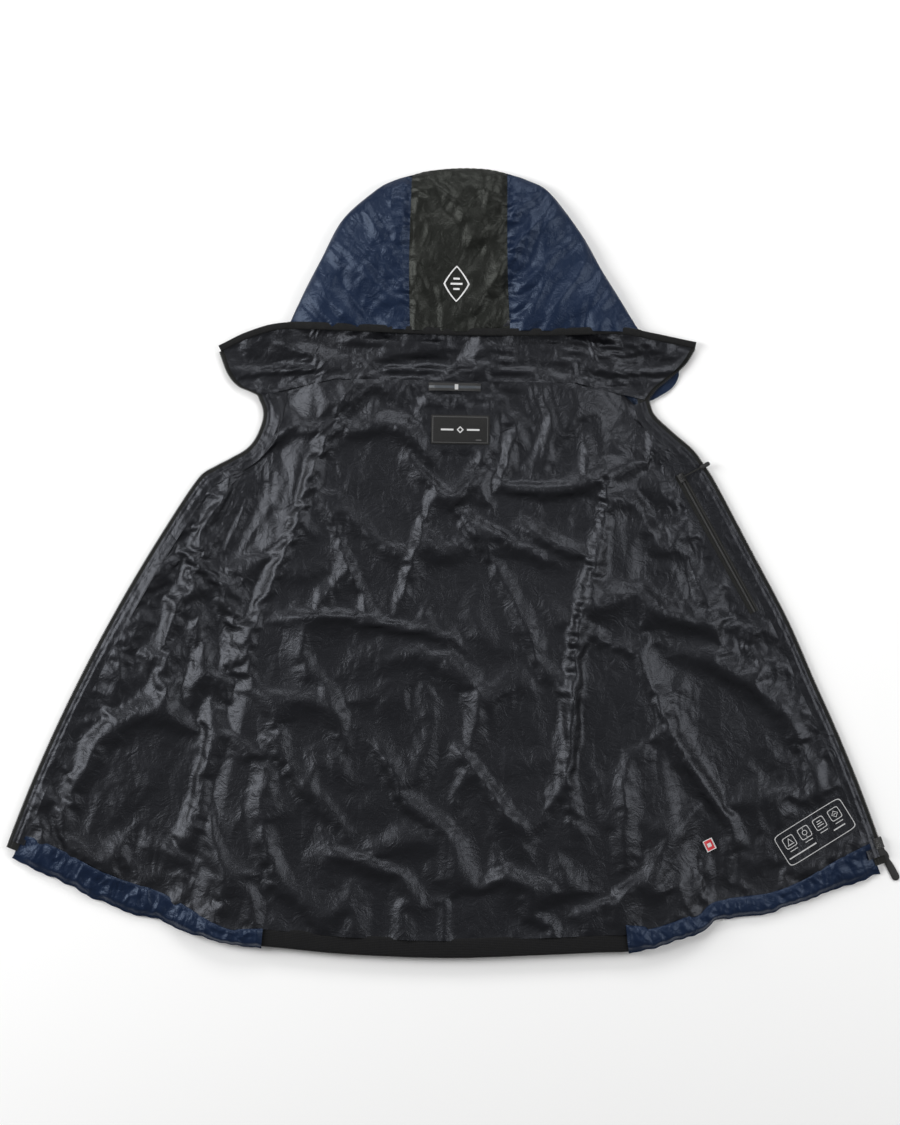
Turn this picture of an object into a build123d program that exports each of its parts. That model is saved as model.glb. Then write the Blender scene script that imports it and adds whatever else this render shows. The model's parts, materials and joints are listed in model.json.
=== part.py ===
from build123d import *
import math
import os

# A hooded, padded foul weather jacket lying open on its back with the lining up. +Y runs from the hem
# to the hood, +X is the wearer's left, and z = 0 is the floor. All sizes are in millimetres.

# ---- overall sizes of the open jacket ----
HEM_HALF_SPREAD = 557.0      # centre to the front hem corner
BACK_LENGTH = 728.0          # back neck seam to the lowest point of the hem
COLLAR_HEIGHT = 63.0         # neck seam to the hood's mouth
HOOD_HEIGHT = 210.0          # mouth to crown
HEM_CORNER_RISE = 135.0      # lowest point of the hem up to the front hem corner
HEM_FOLD_RISE = 23.0         # and up to where the hem crosses the fold line

# ---- fold lines between the back and the fronts ----
MEET_GAP = 6.0               # from the centre to each front's corners when both are folded in
FOLD_GAP = 0.4               # clearance each side of the fold line
FOLD_AXIS_RISE = 4.0         # the line that the fronts turn about, above the back's lining

# ---- front edges: a long zip run that bows out, then a round neck curve up to the collar tip ----
ZIP_BOW = 17.0               # how far the zip run bows out from its chord
NECK_CURVE_X = 314.0         # centre of the neck curve
NECK_CURVE_DROP = 36.0       # its centre below the back neck seam
NECK_RADIUS = 74.0
ZIP_TOP_TURN = 268.0         # places on the neck curve, in degrees round from +X
COLLAR_TIP_TURN = 103.5
COLLAR_SEAM_TURN = 167.5
MOUTH_CORNER_X = 217.0       # hood mouth corner, where the brim meets the collar
FRONT_HEM_BOW = 16.0         # how far the front hem bows out from its chord

# ---- layers ----
SHELL = 1.5                  # outer cloth
WADDING = 5.0                # insulation
LINING = 1.5                 # lining cloth
PLY = SHELL + WADDING + LINING
SLEEVE_PLY = 3.5             # each wall of a flattened sleeve
SLEEVE_ROOM = 4.7            # arm room between the walls
SLEEVE_STACK = 2 * SLEEVE_PLY + SLEEVE_ROOM
REST_GAP = 0.3               # clearance between fronts and the sleeves under them
BACK_Z = SLEEVE_STACK        # underside of the back
SIDE_Z = SLEEVE_STACK + REST_GAP

# ---- side panels ----
SIDE_FLAT = 30.0             # level part next to the fold line, above the sleeve
SIDE_WIDTH = 54.0            # fold line to side seam

# ---- strips along the edges ----
TEETH_W = 2.5
TEETH_T = 3.0
TAPE_W = 7.0
TAPE_T = 1.0
ZIP_DROP = 0.3               # mid height of tape and teeth, below the top of the wadding
FACING_W = 10.0
HEM_TURNUP = 36.0
BAND_DEPTH = 24.0
BAND_HALF_W = 236.0
BINDING_W = 10.0
BRIM_W = 4.0                 # binding round the upper lip of the hood's mouth

# ---- collar ----
COLLAR_BACK_Z = 4.0          # underside of the back collar
COLLAR_BACK_T = 12.0
COLLAR_SHELL_SHARE = 4.0     # thickness of its outer ply
COLLAR_ROOM = 1.2            # front collar's top edge below the hood's mouth, at the mouth corner
COLLAR_FOLD_ROOM = 5.2       # and at the fold line, because it swings up as the front turns over

# ---- hood ----
HOOD_CROWN_HALF = 58.0
HOOD_CROWN_RISE = 4.0        # bow of the crown edge
HOOD_CHEEK_HALF = 172.0
HOOD_CHEEK_RISE = 88.0       # mouth line to cheek
HOOD_SHOULDER_IN = 10.0      # how far the crown corner is rounded outward of its chord
HOOD_MOUTH_HALF = 219.0
HOOD_CENTRE_HALF = 62.0      # centre panel
HOOD_SHELL = 5.0             # outer cloth with its padding
HOOD_LINING = 3.0
HOOD_ROOM = 14.0             # room for a head, pressed flat
HOOD_STACK = 2 * (HOOD_SHELL + HOOD_LINING) + HOOD_ROOM
HOOD_GAP = 0.5               # clearance at the mouth line
HOOD_AXIS_RISE = 2.0         # the line that the hood turns about, above its top
MARK_T = 0.4
MARK_RADIUS = 20.0
MARK_RISE = 55.0             # mouth line to the mark's centre

# ---- sleeves ----
SLEEVE_LENGTH = 640.0
SLEEVE_HALF_TOP = 88.0
SLEEVE_HALF_CUFF = 54.0
SLEEVE_HEAD_DROP = 88.0      # depth of the rounded sleeve head
SLEEVE_LOW = 53.0            # neck seam down to the top of the sleeve head
SLEEVE_TURN = 11.6           # degrees outward of straight down
SLEEVE_CLEAR = 1.5           # inside the level part of the side panel
CUFF_LENGTH = 12.0
CUFF_RIM = 6.0

# ---- neck label and hanger loop ----
LABEL_W = 74.0
LABEL_H = 37.0
LABEL_T = 1.0
LABEL_X = 8.0
LABEL_DROP = 62.0            # neck seam to label centre
LOOP_W = 66.0
LOOP_H = 10.0
LOOP_T = 1.2
LOOP_GAP = 4.3               # finger gap under the loop
LOOP_FOOT = 6.0
LOOP_DROP = 8.0

# ---- inner pocket on the wearer's left front ----
POCKET_IN = 24.4             # top of its zip, inward of the main zip's top corner
POCKET_DROP = 3.5            # and below it
POCKET_ZIP_LENGTH = 200.0
POCKET_SKEW = 2.8            # degrees that it leans out more than the main zip does
POCKET_TAPE_W = 12.0
POCKET_TAPE_T = 0.8
POCKET_COIL_W = 3.0
POCKET_COIL_T = 1.4
POCKET_SLIDER_L = 11.0
POCKET_SLIDER_WALL = 1.5
POCKET_SLIDER_TRAVEL = 175.0
POCKET_BAG_W = 120.0
POCKET_BAG_L = 190.0
POCKET_BAG_T = 1.5
CORD_D = 2.2
CORD_L = 22.0
CORD_TURN = 12.0             # degrees above +X
PULL_END_D = 5.0
PULL_END_L = 10.0
PULL_POST = 2.0              # half width of the slider's bail

# ---- main zip slider and pull ----
RETAINER_L = 9.0
RETAINER_W = 8.0
RETAINER_T = 5.0
SLIDER_L = 14.0
SLIDER_WALL = 3.2
SLIDER_PLATE = 1.2
SLIDER_REACH = 7.0           # how far its plates reach in from the edge
RUN_GAP = 0.3                # running clearance of both sliders
SLIDER_TRAVEL = 500.0
PULL_W = 8.0
PULL_L = 30.0
PULL_T = 2.0
PULL_PIN_R = 0.5
PULL_PIN_GAP = 0.25          # clearance round the pin
PULL_KNUCKLE_R = 1.45        # round end of the pull about its pin
PULL_IN = 2.5                # middle of the pull, in from the edge
PIN_W = 3.0
PIN_L = 12.0

# ---- prints, labels and hand pocket zips ----
PANEL_W = 99.0
PANEL_H = 44.0
PANEL_T = 0.4
PANEL_IN = 89.0              # its centre, inward of the hem corner
PANEL_RISE = 27.5            # and above it
PANEL_TURN = 32.9
SIDE_LABEL_W = 14.0
SIDE_LABEL_H = 17.0
SIDE_LABEL_T = 1.0
SIDE_LABEL_RISE = 116.5      # above the hem at the fold line
SIDE_LABEL_TURN = 27.0
HAND_ZIP_L = 170.0
HAND_ZIP_W = 14.0
HAND_ZIP_T = 1.2
HAND_ZIP_IN = 172.0          # its centre, inward of the hem corner
HAND_ZIP_RISE = 175.0        # and above it
HAND_ZIP_SKEW = -5.0         # degrees that it leans out more than the main zip does

FAR = 1500.0                 # reach of the cutting regions, past the whole jacket

os.makedirs("parts", exist_ok=True)


def polygon(points):
    """A flat region from its corner points."""
    return make_face(Polyline(*points, close=True))


def slab(region, low, high):
    """A region carried up from one height to another."""
    return Pos(0, 0, low) * extrude(region, amount=high - low, dir=(0, 0, 1))


def disk(centre, radius):
    return Pos(centre[0], centre[1]) * Circle(radius)


def circle_through(a, b, bow):
    """Centre and radius of the circle through a and b that bows out to the right of a to b."""
    chord = math.dist(a, b)
    radius = (chord * chord / 4 + bow * bow) / (2 * bow)
    along = ((b[0] - a[0]) / chord, (b[1] - a[1]) / chord)
    inward = (-along[1], along[0])
    reach = radius - bow
    middle = ((a[0] + b[0]) / 2, (a[1] + b[1]) / 2)
    return (middle[0] + inward[0] * reach, middle[1] + inward[1] * reach), radius


def mirrored(shape):
    """The same piece on the wearer's right side."""
    return mirror(shape, about=Plane.YZ)


def write(shape, name):
    export_step(shape, f"parts/{name}.step")


def write_pair(shape, name):
    write(shape, "left_" + name)
    write(mirrored(shape), "right_" + name)


# ---- outlines worked out from the sizes above ----
NECK_Y = (BACK_LENGTH - COLLAR_HEIGHT - HOOD_HEIGHT) / 2
HOOD_MOUTH_Y = NECK_Y + COLLAR_HEIGHT
HEM_DROP_Y = NECK_Y - BACK_LENGTH
FOLD_HEM_Y = HEM_DROP_Y + HEM_FOLD_RISE
HEM_CORNER = (HEM_HALF_SPREAD, HEM_DROP_Y + HEM_CORNER_RISE)
NECK_CURVE_CENTRE = (NECK_CURVE_X, NECK_Y - NECK_CURVE_DROP)


def on_neck_curve(turn):
    """The point of the neck curve at an angle round from +X."""
    angle = math.radians(turn)
    return (
        NECK_CURVE_CENTRE[0] + NECK_RADIUS * math.cos(angle),
        NECK_CURVE_CENTRE[1] + NECK_RADIUS * math.sin(angle),
    )


ZIP_TOP = on_neck_curve(ZIP_TOP_TURN)
COLLAR_TIP = on_neck_curve(COLLAR_TIP_TURN)
COLLAR_SEAM_END = on_neck_curve(COLLAR_SEAM_TURN)
MOUTH_CORNER = (MOUTH_CORNER_X, HOOD_MOUTH_Y - COLLAR_ROOM)

# The fold line halves the angle between the front's edge and the centre line, so that the front's
# corners come to the centre line, less the gap, when it is folded in.
EDGE_ANGLE = math.atan2(HEM_CORNER[0] - COLLAR_TIP[0], COLLAR_TIP[1] - HEM_CORNER[1])
FOLD_APEX_Y = COLLAR_TIP[1] + (COLLAR_TIP[0] - MEET_GAP) / math.tan(EDGE_ANGLE)
FOLD_LEAN = EDGE_ANGLE / 2


def fold_x(y, out=0.0):
    """x of the fold line at a height, moved outward at right angles to the line."""
    return MEET_GAP + (FOLD_APEX_Y - y) * math.tan(FOLD_LEAN) + out / math.cos(FOLD_LEAN)


FOLD_HEM = (fold_x(FOLD_HEM_Y), FOLD_HEM_Y)
ZIP_TURN = math.degrees(math.atan2(HEM_CORNER[0] - ZIP_TOP[0], ZIP_TOP[1] - HEM_CORNER[1]))
ZIP_Z = SHELL + WADDING - ZIP_DROP
ZIP_CENTRE, ZIP_RADIUS = circle_through(HEM_CORNER, ZIP_TOP, ZIP_BOW)
HEM_CENTRE, HEM_RADIUS = circle_through(FOLD_HEM, HEM_CORNER, FRONT_HEM_BOW)
BACK_HEM_CENTRE, BACK_HEM_RADIUS = circle_through((-FOLD_HEM[0], FOLD_HEM_Y), FOLD_HEM, HEM_FOLD_RISE)


def beyond_fold(out):
    """Everything outward of the fold line moved out by a distance."""
    return polygon([(fold_x(FAR, out), FAR), (FAR, FAR), (FAR, -FAR), (fold_x(-FAR, out), -FAR)])


def front_region(zip_in=0.0, hem_in=0.0, fold_out=FOLD_GAP):
    """The left front below its neck seam, with its zip edge, hem and fold edge moved in."""
    seam_right = (COLLAR_SEAM_END[0] + FAR, COLLAR_SEAM_END[1])
    below = polygon(
        [(0, NECK_Y), (fold_x(NECK_Y), NECK_Y), COLLAR_SEAM_END, seam_right, (FAR, -FAR), (0, -FAR)]
    )
    region = below & beyond_fold(fold_out)
    beside_zip = region & disk(ZIP_CENTRE, ZIP_RADIUS - zip_in)
    beside_neck = region & polygon(
        [(0, NECK_Y), (NECK_CURVE_X, NECK_Y), (NECK_CURVE_X, ZIP_TOP[1]), (0, ZIP_TOP[1])]
    )
    region = beside_zip + beside_neck
    region = region & disk(HEM_CENTRE, HEM_RADIUS - hem_in)
    return region - disk(NECK_CURVE_CENTRE, NECK_RADIUS + zip_in)


def collar_region(zip_in=0.0):
    """The left front's collar, from the neck seam up to the brim, with its front edge moved in."""
    top = HOOD_MOUTH_Y - COLLAR_FOLD_ROOM
    outline = polygon(
        [(fold_x(NECK_Y), NECK_Y), (fold_x(top), top), MOUTH_CORNER, COLLAR_TIP, COLLAR_SEAM_END]
    )
    return (outline & beyond_fold(FOLD_GAP)) - disk(NECK_CURVE_CENTRE, NECK_RADIUS + zip_in)


def back_region(hem_in=0.0):
    """The back between its fold lines, from the neck seam to the hem moved in."""
    region = polygon(
        [
            (-fold_x(NECK_Y, -FOLD_GAP), NECK_Y),
            (fold_x(NECK_Y, -FOLD_GAP), NECK_Y),
            (fold_x(-FAR, -FOLD_GAP), -FAR),
            (-fold_x(-FAR, -FOLD_GAP), -FAR),
        ]
    )
    return region & disk(BACK_HEM_CENTRE, BACK_HEM_RADIUS - hem_in)


def at_front(point, turn, shape):
    """A shape drawn about the origin, pointing down -Y, set on a front and turned outward."""
    return Pos(point[0], point[1]) * Rot(0, 0, turn) * shape


def beside(x):
    """Everything further out than x on both sides."""
    out = FAR / 2
    return Pos(x + out, 0) * Rectangle(2 * out, 2 * FAR) + Pos(-x - out, 0) * Rectangle(2 * out, 2 * FAR)


# ---- back: shell, wadding and lining, with the stretch band and side hems below ----
WAIST_STRIP = back_region() - back_region(hem_in=BAND_DEPTH)
BAND_AREA = WAIST_STRIP - beside(BAND_HALF_W)
BACK_AREA = back_region() - BAND_AREA
back_top = BACK_Z + PLY
write(slab(BACK_AREA, BACK_Z, BACK_Z + SHELL), "back_shell")
write(slab(BACK_AREA, BACK_Z + SHELL, back_top - LINING), "back_wadding")
turned_strip = (back_region() - back_region(hem_in=HEM_TURNUP)) & beside(BAND_HALF_W)
write(slab(BACK_AREA - turned_strip, back_top - LINING, back_top), "back_lining")
write(slab(turned_strip, back_top - LINING, back_top), "side_hems")
write(slab(BAND_AREA, BACK_Z + SHELL, back_top - LINING), "back_hem_band")

# ---- back collar between the neck seam and the hood's mouth ----
collar_back = polygon(
    [
        (-fold_x(NECK_Y, -FOLD_GAP), NECK_Y),
        (fold_x(NECK_Y, -FOLD_GAP), NECK_Y),
        (fold_x(HOOD_MOUTH_Y, -FOLD_GAP), HOOD_MOUTH_Y),
        (-fold_x(HOOD_MOUTH_Y, -FOLD_GAP), HOOD_MOUTH_Y),
    ]
)
collar_split = COLLAR_BACK_Z + COLLAR_SHELL_SHARE
write(slab(collar_back, COLLAR_BACK_Z, collar_split), "back_collar_shell")
write(slab(collar_back, collar_split, COLLAR_BACK_Z + COLLAR_BACK_T), "back_collar_lining")

# ---- neck label and hanger loop ----
label = Pos(LABEL_X, NECK_Y - LABEL_DROP) * Rectangle(LABEL_W, LABEL_H)
write(slab(label, back_top, back_top + LABEL_T), "neck_label")
loop_top = back_top + LOOP_GAP + LOOP_T
loop_spot = Pos(0, NECK_Y - LOOP_DROP)
loop = slab(loop_spot * Rectangle(LOOP_W, LOOP_H), back_top, loop_top)
loop = loop - slab(loop_spot * Rectangle(LOOP_W - 2 * LOOP_FOOT, 2 * LOOP_H), back_top, loop_top - LOOP_T)
write(loop, "hanger_loop")

# ---- sleeves, flattened under the back ----
sleeve_outline = make_face(
    Polyline(
        (-SLEEVE_HALF_TOP, -SLEEVE_HEAD_DROP),
        (-SLEEVE_HALF_CUFF, -SLEEVE_LENGTH),
        (SLEEVE_HALF_CUFF, -SLEEVE_LENGTH),
        (SLEEVE_HALF_TOP, -SLEEVE_HEAD_DROP),
    )
    + ThreePointArc((SLEEVE_HALF_TOP, -SLEEVE_HEAD_DROP), (0, 0), (-SLEEVE_HALF_TOP, -SLEEVE_HEAD_DROP))
)
sleeve_corner = Vector(SLEEVE_HALF_TOP, -SLEEVE_HEAD_DROP).rotate(Axis.Z, SLEEVE_TURN)
sleeve_head_y = NECK_Y - SLEEVE_LOW
sleeve_corner_x = fold_x(sleeve_head_y + sleeve_corner.Y, SIDE_FLAT - SLEEVE_CLEAR)
SLEEVE_HEAD = (sleeve_corner_x - sleeve_corner.X, sleeve_head_y)
sleeve_area = at_front(SLEEVE_HEAD, SLEEVE_TURN, sleeve_outline)
cuff_y = -SLEEVE_LENGTH - CUFF_LENGTH / 2
cuff_outer = Pos(0, cuff_y) * Rectangle(2 * SLEEVE_HALF_CUFF, CUFF_LENGTH)
cuff_inner = Pos(0, cuff_y) * Rectangle(2 * (SLEEVE_HALF_CUFF - CUFF_RIM), 2 * CUFF_LENGTH)
cuff = slab(cuff_outer, 0, SLEEVE_STACK) - slab(cuff_inner, SLEEVE_PLY, SLEEVE_PLY + SLEEVE_ROOM)
write_pair(slab(sleeve_area, SLEEVE_PLY + SLEEVE_ROOM, SLEEVE_STACK), "sleeve_top")
write_pair(slab(sleeve_area, 0, SLEEVE_PLY), "sleeve_under")
write_pair(at_front(SLEEVE_HEAD, SLEEVE_TURN, cuff), "cuff")

# ---- hood: a bag of three outer panels and a lining, open along the mouth line ----
crown_y = HOOD_MOUTH_Y + HOOD_HEIGHT
crown_corner = (HOOD_CROWN_HALF, crown_y - HOOD_CROWN_RISE)
cheek = (HOOD_CHEEK_HALF, HOOD_MOUTH_Y + HOOD_CHEEK_RISE)
shoulder_mid = (
    (crown_corner[0] + cheek[0]) / 2 + HOOD_SHOULDER_IN,
    (crown_corner[1] + cheek[1]) / 2 + HOOD_SHOULDER_IN,
)
mouth_y = HOOD_MOUTH_Y + HOOD_GAP


def flipped(point):
    return (-point[0], point[1])


hood_outline = make_face(
    Polyline(flipped(cheek), (-HOOD_MOUTH_HALF, mouth_y), (HOOD_MOUTH_HALF, mouth_y), cheek)
    + ThreePointArc(cheek, shoulder_mid, crown_corner)
    + ThreePointArc(crown_corner, (0, crown_y), flipped(crown_corner))
    + ThreePointArc(flipped(crown_corner), flipped(shoulder_mid), flipped(cheek))
)


def hood_inside(inset):
    """The hood's outline moved in at its sides and crown, but run out through the mouth."""
    inner = offset(hood_outline, amount=-inset, kind=Kind.INTERSECTION)
    return inner + Pos(0, -2 * inset) * inner


hood_body = slab(hood_outline, 0, HOOD_STACK)
hood_shell_room = slab(hood_inside(HOOD_SHELL), HOOD_SHELL, HOOD_STACK - HOOD_SHELL)
hood_ply = HOOD_SHELL + HOOD_LINING
hood_head_room = slab(hood_inside(hood_ply), hood_ply, HOOD_STACK - hood_ply)
brim_area = hood_outline & (Pos(0, mouth_y) * Rectangle(2 * FAR, 2 * BRIM_W))
brim = slab(brim_area, HOOD_STACK - hood_ply, HOOD_STACK)
hood_shell = hood_body - hood_shell_room - brim
centre_strip = slab(Rectangle(2 * HOOD_CENTRE_HALF, 4 * FAR), 0, HOOD_STACK)
left_strip = slab(Pos(HOOD_CENTRE_HALF + FAR, 0) * Rectangle(2 * FAR, 4 * FAR), 0, HOOD_STACK)
write(hood_shell & centre_strip, "hood_centre_panel")
write_pair(hood_shell & left_strip, "hood_panel")
write((hood_body & hood_shell_room) - hood_head_room - brim, "hood_lining")
mark_spot = Pos(0, HOOD_MOUTH_Y + MARK_RISE)
write(slab(mark_spot * Circle(MARK_RADIUS), HOOD_STACK, HOOD_STACK + MARK_T), "hood_mark")
write(brim, "hood_brim_binding")

# ---- each front: shell and wadding to the edge, lining, facing and hem turn-up on top ----
edge_in = TEETH_W + TAPE_W
front_full = front_region(zip_in=edge_in, fold_out=SIDE_WIDTH)
front_inner = front_region(zip_in=edge_in + FACING_W, hem_in=HEM_TURNUP, fold_out=SIDE_WIDTH)
front_above_hem = front_region(zip_in=edge_in, hem_in=HEM_TURNUP, fold_out=SIDE_WIDTH)
lining_low = SHELL + WADDING
hand_zip_spot = (HEM_CORNER[0] - HAND_ZIP_IN, HEM_CORNER[1] + HAND_ZIP_RISE)
hand_zip_area = at_front(hand_zip_spot, ZIP_TURN + HAND_ZIP_SKEW, Rectangle(HAND_ZIP_W, HAND_ZIP_L))
hand_zip_low = SHELL - HAND_ZIP_T
write_pair(slab(front_full - hand_zip_area, 0, SHELL), "front_shell")
write_pair(slab(hand_zip_area, hand_zip_low, SHELL), "hand_pocket_zip")
pocket_top = (ZIP_TOP[0] - POCKET_IN, ZIP_TOP[1] - POCKET_DROP)
pocket_turn = ZIP_TURN + POCKET_SKEW
bag_drawn = Pos(-POCKET_BAG_W / 2, -POCKET_BAG_L / 2) * Rectangle(POCKET_BAG_W, POCKET_BAG_L)
bag_area = at_front(pocket_top, pocket_turn, bag_drawn) & front_inner
wadding = slab(front_full, SHELL, lining_low)
pocket_bag = slab(bag_area, lining_low - POCKET_BAG_T, lining_low)
write(wadding - pocket_bag, "left_front_wadding")
write(mirrored(wadding), "right_front_wadding")
write(pocket_bag, "inner_pocket_bag")
write_pair(slab(front_inner, lining_low, PLY), "front_lining")
write_pair(slab(front_above_hem - front_inner, lining_low, PLY), "zip_facing")

# ---- side panels: level above the sleeve, then sloping down to the front ----


def side_layer(low, high):
    """A ply of the side panel between two heights above its underside, along the whole fold line."""
    section = polygon(
        [
            (FOLD_GAP, SIDE_Z + low),
            (SIDE_FLAT, SIDE_Z + low),
            (SIDE_WIDTH, low),
            (SIDE_WIDTH, high),
            (SIDE_FLAT, SIDE_Z + high),
            (FOLD_GAP, SIDE_Z + high),
        ]
    )
    upright = extrude(Rot(90, 0, 0) * section, amount=FAR, both=True)
    return Pos(fold_x(NECK_Y), NECK_Y) * Rot(0, 0, math.degrees(FOLD_LEAN)) * upright


side_area = front_region() - beyond_fold(SIDE_WIDTH)
side_hem_area = side_area - front_region(hem_in=HEM_TURNUP)
side_top = slab(side_area - side_hem_area, 0, 2 * SIDE_Z)
side_hem_column = slab(side_hem_area, 0, 2 * SIDE_Z)
write_pair(side_layer(0, lining_low) & slab(side_area, 0, 2 * SIDE_Z), "side_shell")
write_pair(side_layer(lining_low, PLY) & side_top, "side_lining")
flat_turnup = slab(front_full - front_above_hem, lining_low, PLY)
write_pair(flat_turnup + (side_layer(lining_low, PLY) & side_hem_column), "hem_turnup")

# ---- front collars ----
collar_full = collar_region(zip_in=edge_in)
collar_low = collar_full & Pos(0, -BINDING_W) * collar_full
collar_edge = collar_full - collar_low
write_pair(slab(collar_low, 0, PLY / 2), "collar_shell")
write_pair(slab(collar_low, PLY / 2, PLY), "collar_lining")
write_pair(slab(collar_edge, PLY / 2, PLY), "collar_binding")

# ---- main zip: tape and teeth along the front edge and up the neck curve ----


def edge_strip(out, inside):
    """A strip along the whole front edge between two distances in from it."""
    outer = front_region(zip_in=out, fold_out=SIDE_WIDTH) + collar_region(zip_in=out)
    return outer - front_region(zip_in=inside, fold_out=SIDE_WIDTH) - collar_region(zip_in=inside)


def along_zip(distance):
    """The place on the zip run at a distance up from the hem corner, facing up the run."""
    start = math.degrees(math.atan2(HEM_CORNER[1] - ZIP_CENTRE[1], HEM_CORNER[0] - ZIP_CENTRE[0]))
    angle = start + math.degrees(distance / ZIP_RADIUS)
    return Pos(*ZIP_CENTRE) * Rot(0, 0, angle) * Pos(ZIP_RADIUS, 0)


retainer_mid = RETAINER_L / 2
retainer_spot = along_zip(retainer_mid) * Pos(-RETAINER_W / 2 + TEETH_W, 0)
retainer_area = retainer_spot * Rectangle(RETAINER_W, RETAINER_L)
strip_below = along_zip(retainer_mid) * Rectangle(4 * RETAINER_W, RETAINER_L + 2 * RUN_GAP)
corner_cut = along_zip(0) * Pos(0, -RETAINER_L) * Rectangle(4 * RETAINER_W, 2 * RETAINER_L)
teeth_area = edge_strip(0, TEETH_W) - strip_below - corner_cut
tape_area = edge_strip(TEETH_W, edge_in) - strip_below - corner_cut
write_pair(slab(teeth_area, ZIP_Z - TEETH_T / 2, ZIP_Z + TEETH_T / 2), "zip_teeth")
write_pair(slab(tape_area, ZIP_Z - TAPE_T / 2, ZIP_Z + TAPE_T / 2), "zip_tape")
write(slab(retainer_area, ZIP_Z - RETAINER_T / 2, ZIP_Z + RETAINER_T / 2), "zip_retainer_box")
pin_area = along_zip(RETAINER_L - PIN_L / 2) * Pos(-PIN_W / 2, 0) * Rectangle(PIN_W, PIN_L)
pin = slab(pin_area, ZIP_Z - TEETH_T / 2, ZIP_Z + TEETH_T / 2)
write(mirrored(pin), "zip_insertion_pin")

# ---- main slider: two plates and an outer wall round the teeth, with a pin for the pull below ----
slider_mid = RETAINER_L + 2 * RUN_GAP + SLIDER_L / 2
slider_out = RUN_GAP + SLIDER_WALL
plate_w = slider_out + SLIDER_REACH
plate_x = slider_out - plate_w / 2
groove = TEETH_T / 2 + RUN_GAP
slider_block = Pos(plate_x, 0, ZIP_Z) * Box(plate_w, SLIDER_L, 2 * (groove + SLIDER_PLATE))
slider_groove = Pos(RUN_GAP - FAR / 2, 0, ZIP_Z) * Box(FAR, 2 * SLIDER_L, 2 * groove)
slider_frame = along_zip(slider_mid)
lug_z = ZIP_Z - groove - SLIDER_PLATE - PULL_KNUCKLE_R - PULL_PIN_GAP / 2
lug_w = PULL_W + 2 * PULL_PIN_GAP + 2 * SLIDER_PLATE
lug = Pos(0, 0, PULL_KNUCKLE_R / 2) * Box(lug_w, 2 * PULL_KNUCKLE_R, PULL_KNUCKLE_R + PULL_PIN_GAP)
lug = lug + Rot(0, 90, 0) * Cylinder(PULL_KNUCKLE_R, lug_w)
lug_gap = Box(PULL_W + 2 * PULL_PIN_GAP, FAR, FAR)
pull_pin = Rot(0, 90, 0) * Cylinder(PULL_PIN_R, lug_w)
bail = Pos(-PULL_IN, 0, lug_z) * ((lug - lug_gap) + pull_pin)
write(slider_frame * ((slider_block - slider_groove) + bail), "main_slider")
pull_body = Pos(0, -PULL_L / 2, 0) * Box(PULL_W, PULL_L, PULL_T)
pull_knuckle = Rot(0, 90, 0) * Cylinder(PULL_KNUCKLE_R, PULL_W)
pull_eye = Rot(0, 90, 0) * Cylinder(PULL_PIN_R + PULL_PIN_GAP, 2 * PULL_W)
write(slider_frame * Pos(-PULL_IN, 0, lug_z) * (pull_body + pull_knuckle - pull_eye), "main_pull")

# ---- inner pocket zip, slider, cord pull and its end ----
pocket = Pos(*pocket_top) * Rot(0, 0, pocket_turn)
zip_middle = Pos(0, -POCKET_ZIP_LENGTH / 2)
pocket_tape = slab(zip_middle * Rectangle(POCKET_TAPE_W, POCKET_ZIP_LENGTH), PLY, PLY + POCKET_TAPE_T)
coil_low = PLY + POCKET_TAPE_T
coil_high = coil_low + POCKET_COIL_T
pocket_coil = slab(zip_middle * Rectangle(POCKET_COIL_W, POCKET_ZIP_LENGTH), coil_low, coil_high)
write(pocket * (pocket_tape + pocket_coil), "inner_pocket_zip")
slider_w = POCKET_COIL_W + 2 * (RUN_GAP + POCKET_SLIDER_WALL)
slider_low = coil_low + RUN_GAP
slider_high = coil_high + RUN_GAP + POCKET_SLIDER_WALL
slider_spot = Pos(0, -POCKET_SLIDER_L / 2)
pocket_slider = slab(slider_spot * Rectangle(slider_w, POCKET_SLIDER_L), slider_low, slider_high)
coil_groove = slider_spot * Rectangle(POCKET_COIL_W + 2 * RUN_GAP, 2 * POCKET_SLIDER_L)
coil_room = slab(coil_groove, 0, coil_high + RUN_GAP)
post_high = slider_high + CORD_D + RUN_GAP
pocket_post = slab(slider_spot * Circle(PULL_POST / 2), slider_high, post_high)
write(pocket * (pocket_slider - coil_room + pocket_post), "pocket_slider")
cord_z = slider_high + RUN_GAP / 2 + CORD_D / 2
cord_centre = pocket * slider_spot
cord_place = Pos(cord_centre.position.X, cord_centre.position.Y, cord_z) * Rot(0, 0, CORD_TURN)
eye_r = PULL_POST / 2 + RUN_GAP
cord_ring = Cylinder(eye_r + CORD_D / 2, CORD_D) - Cylinder(eye_r, 2 * CORD_D)
cord_rod = Pos(eye_r + CORD_L / 2, 0, 0) * Rot(0, 90, 0) * Cylinder(CORD_D / 2, CORD_L)
cord_rod = cord_rod - Cylinder(eye_r, 2 * CORD_D)
write(cord_place * (cord_ring + cord_rod), "pocket_pull_cord")
pull_end = Pos(eye_r + CORD_L + PULL_END_L / 2, 0, 0) * Rot(0, 90, 0) * Cylinder(PULL_END_D / 2, PULL_END_L)
pull_end = cord_place * Pos(0, 0, (PULL_END_D - CORD_D) / 2) * pull_end
write(pull_end, "pocket_pull_end")

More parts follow.
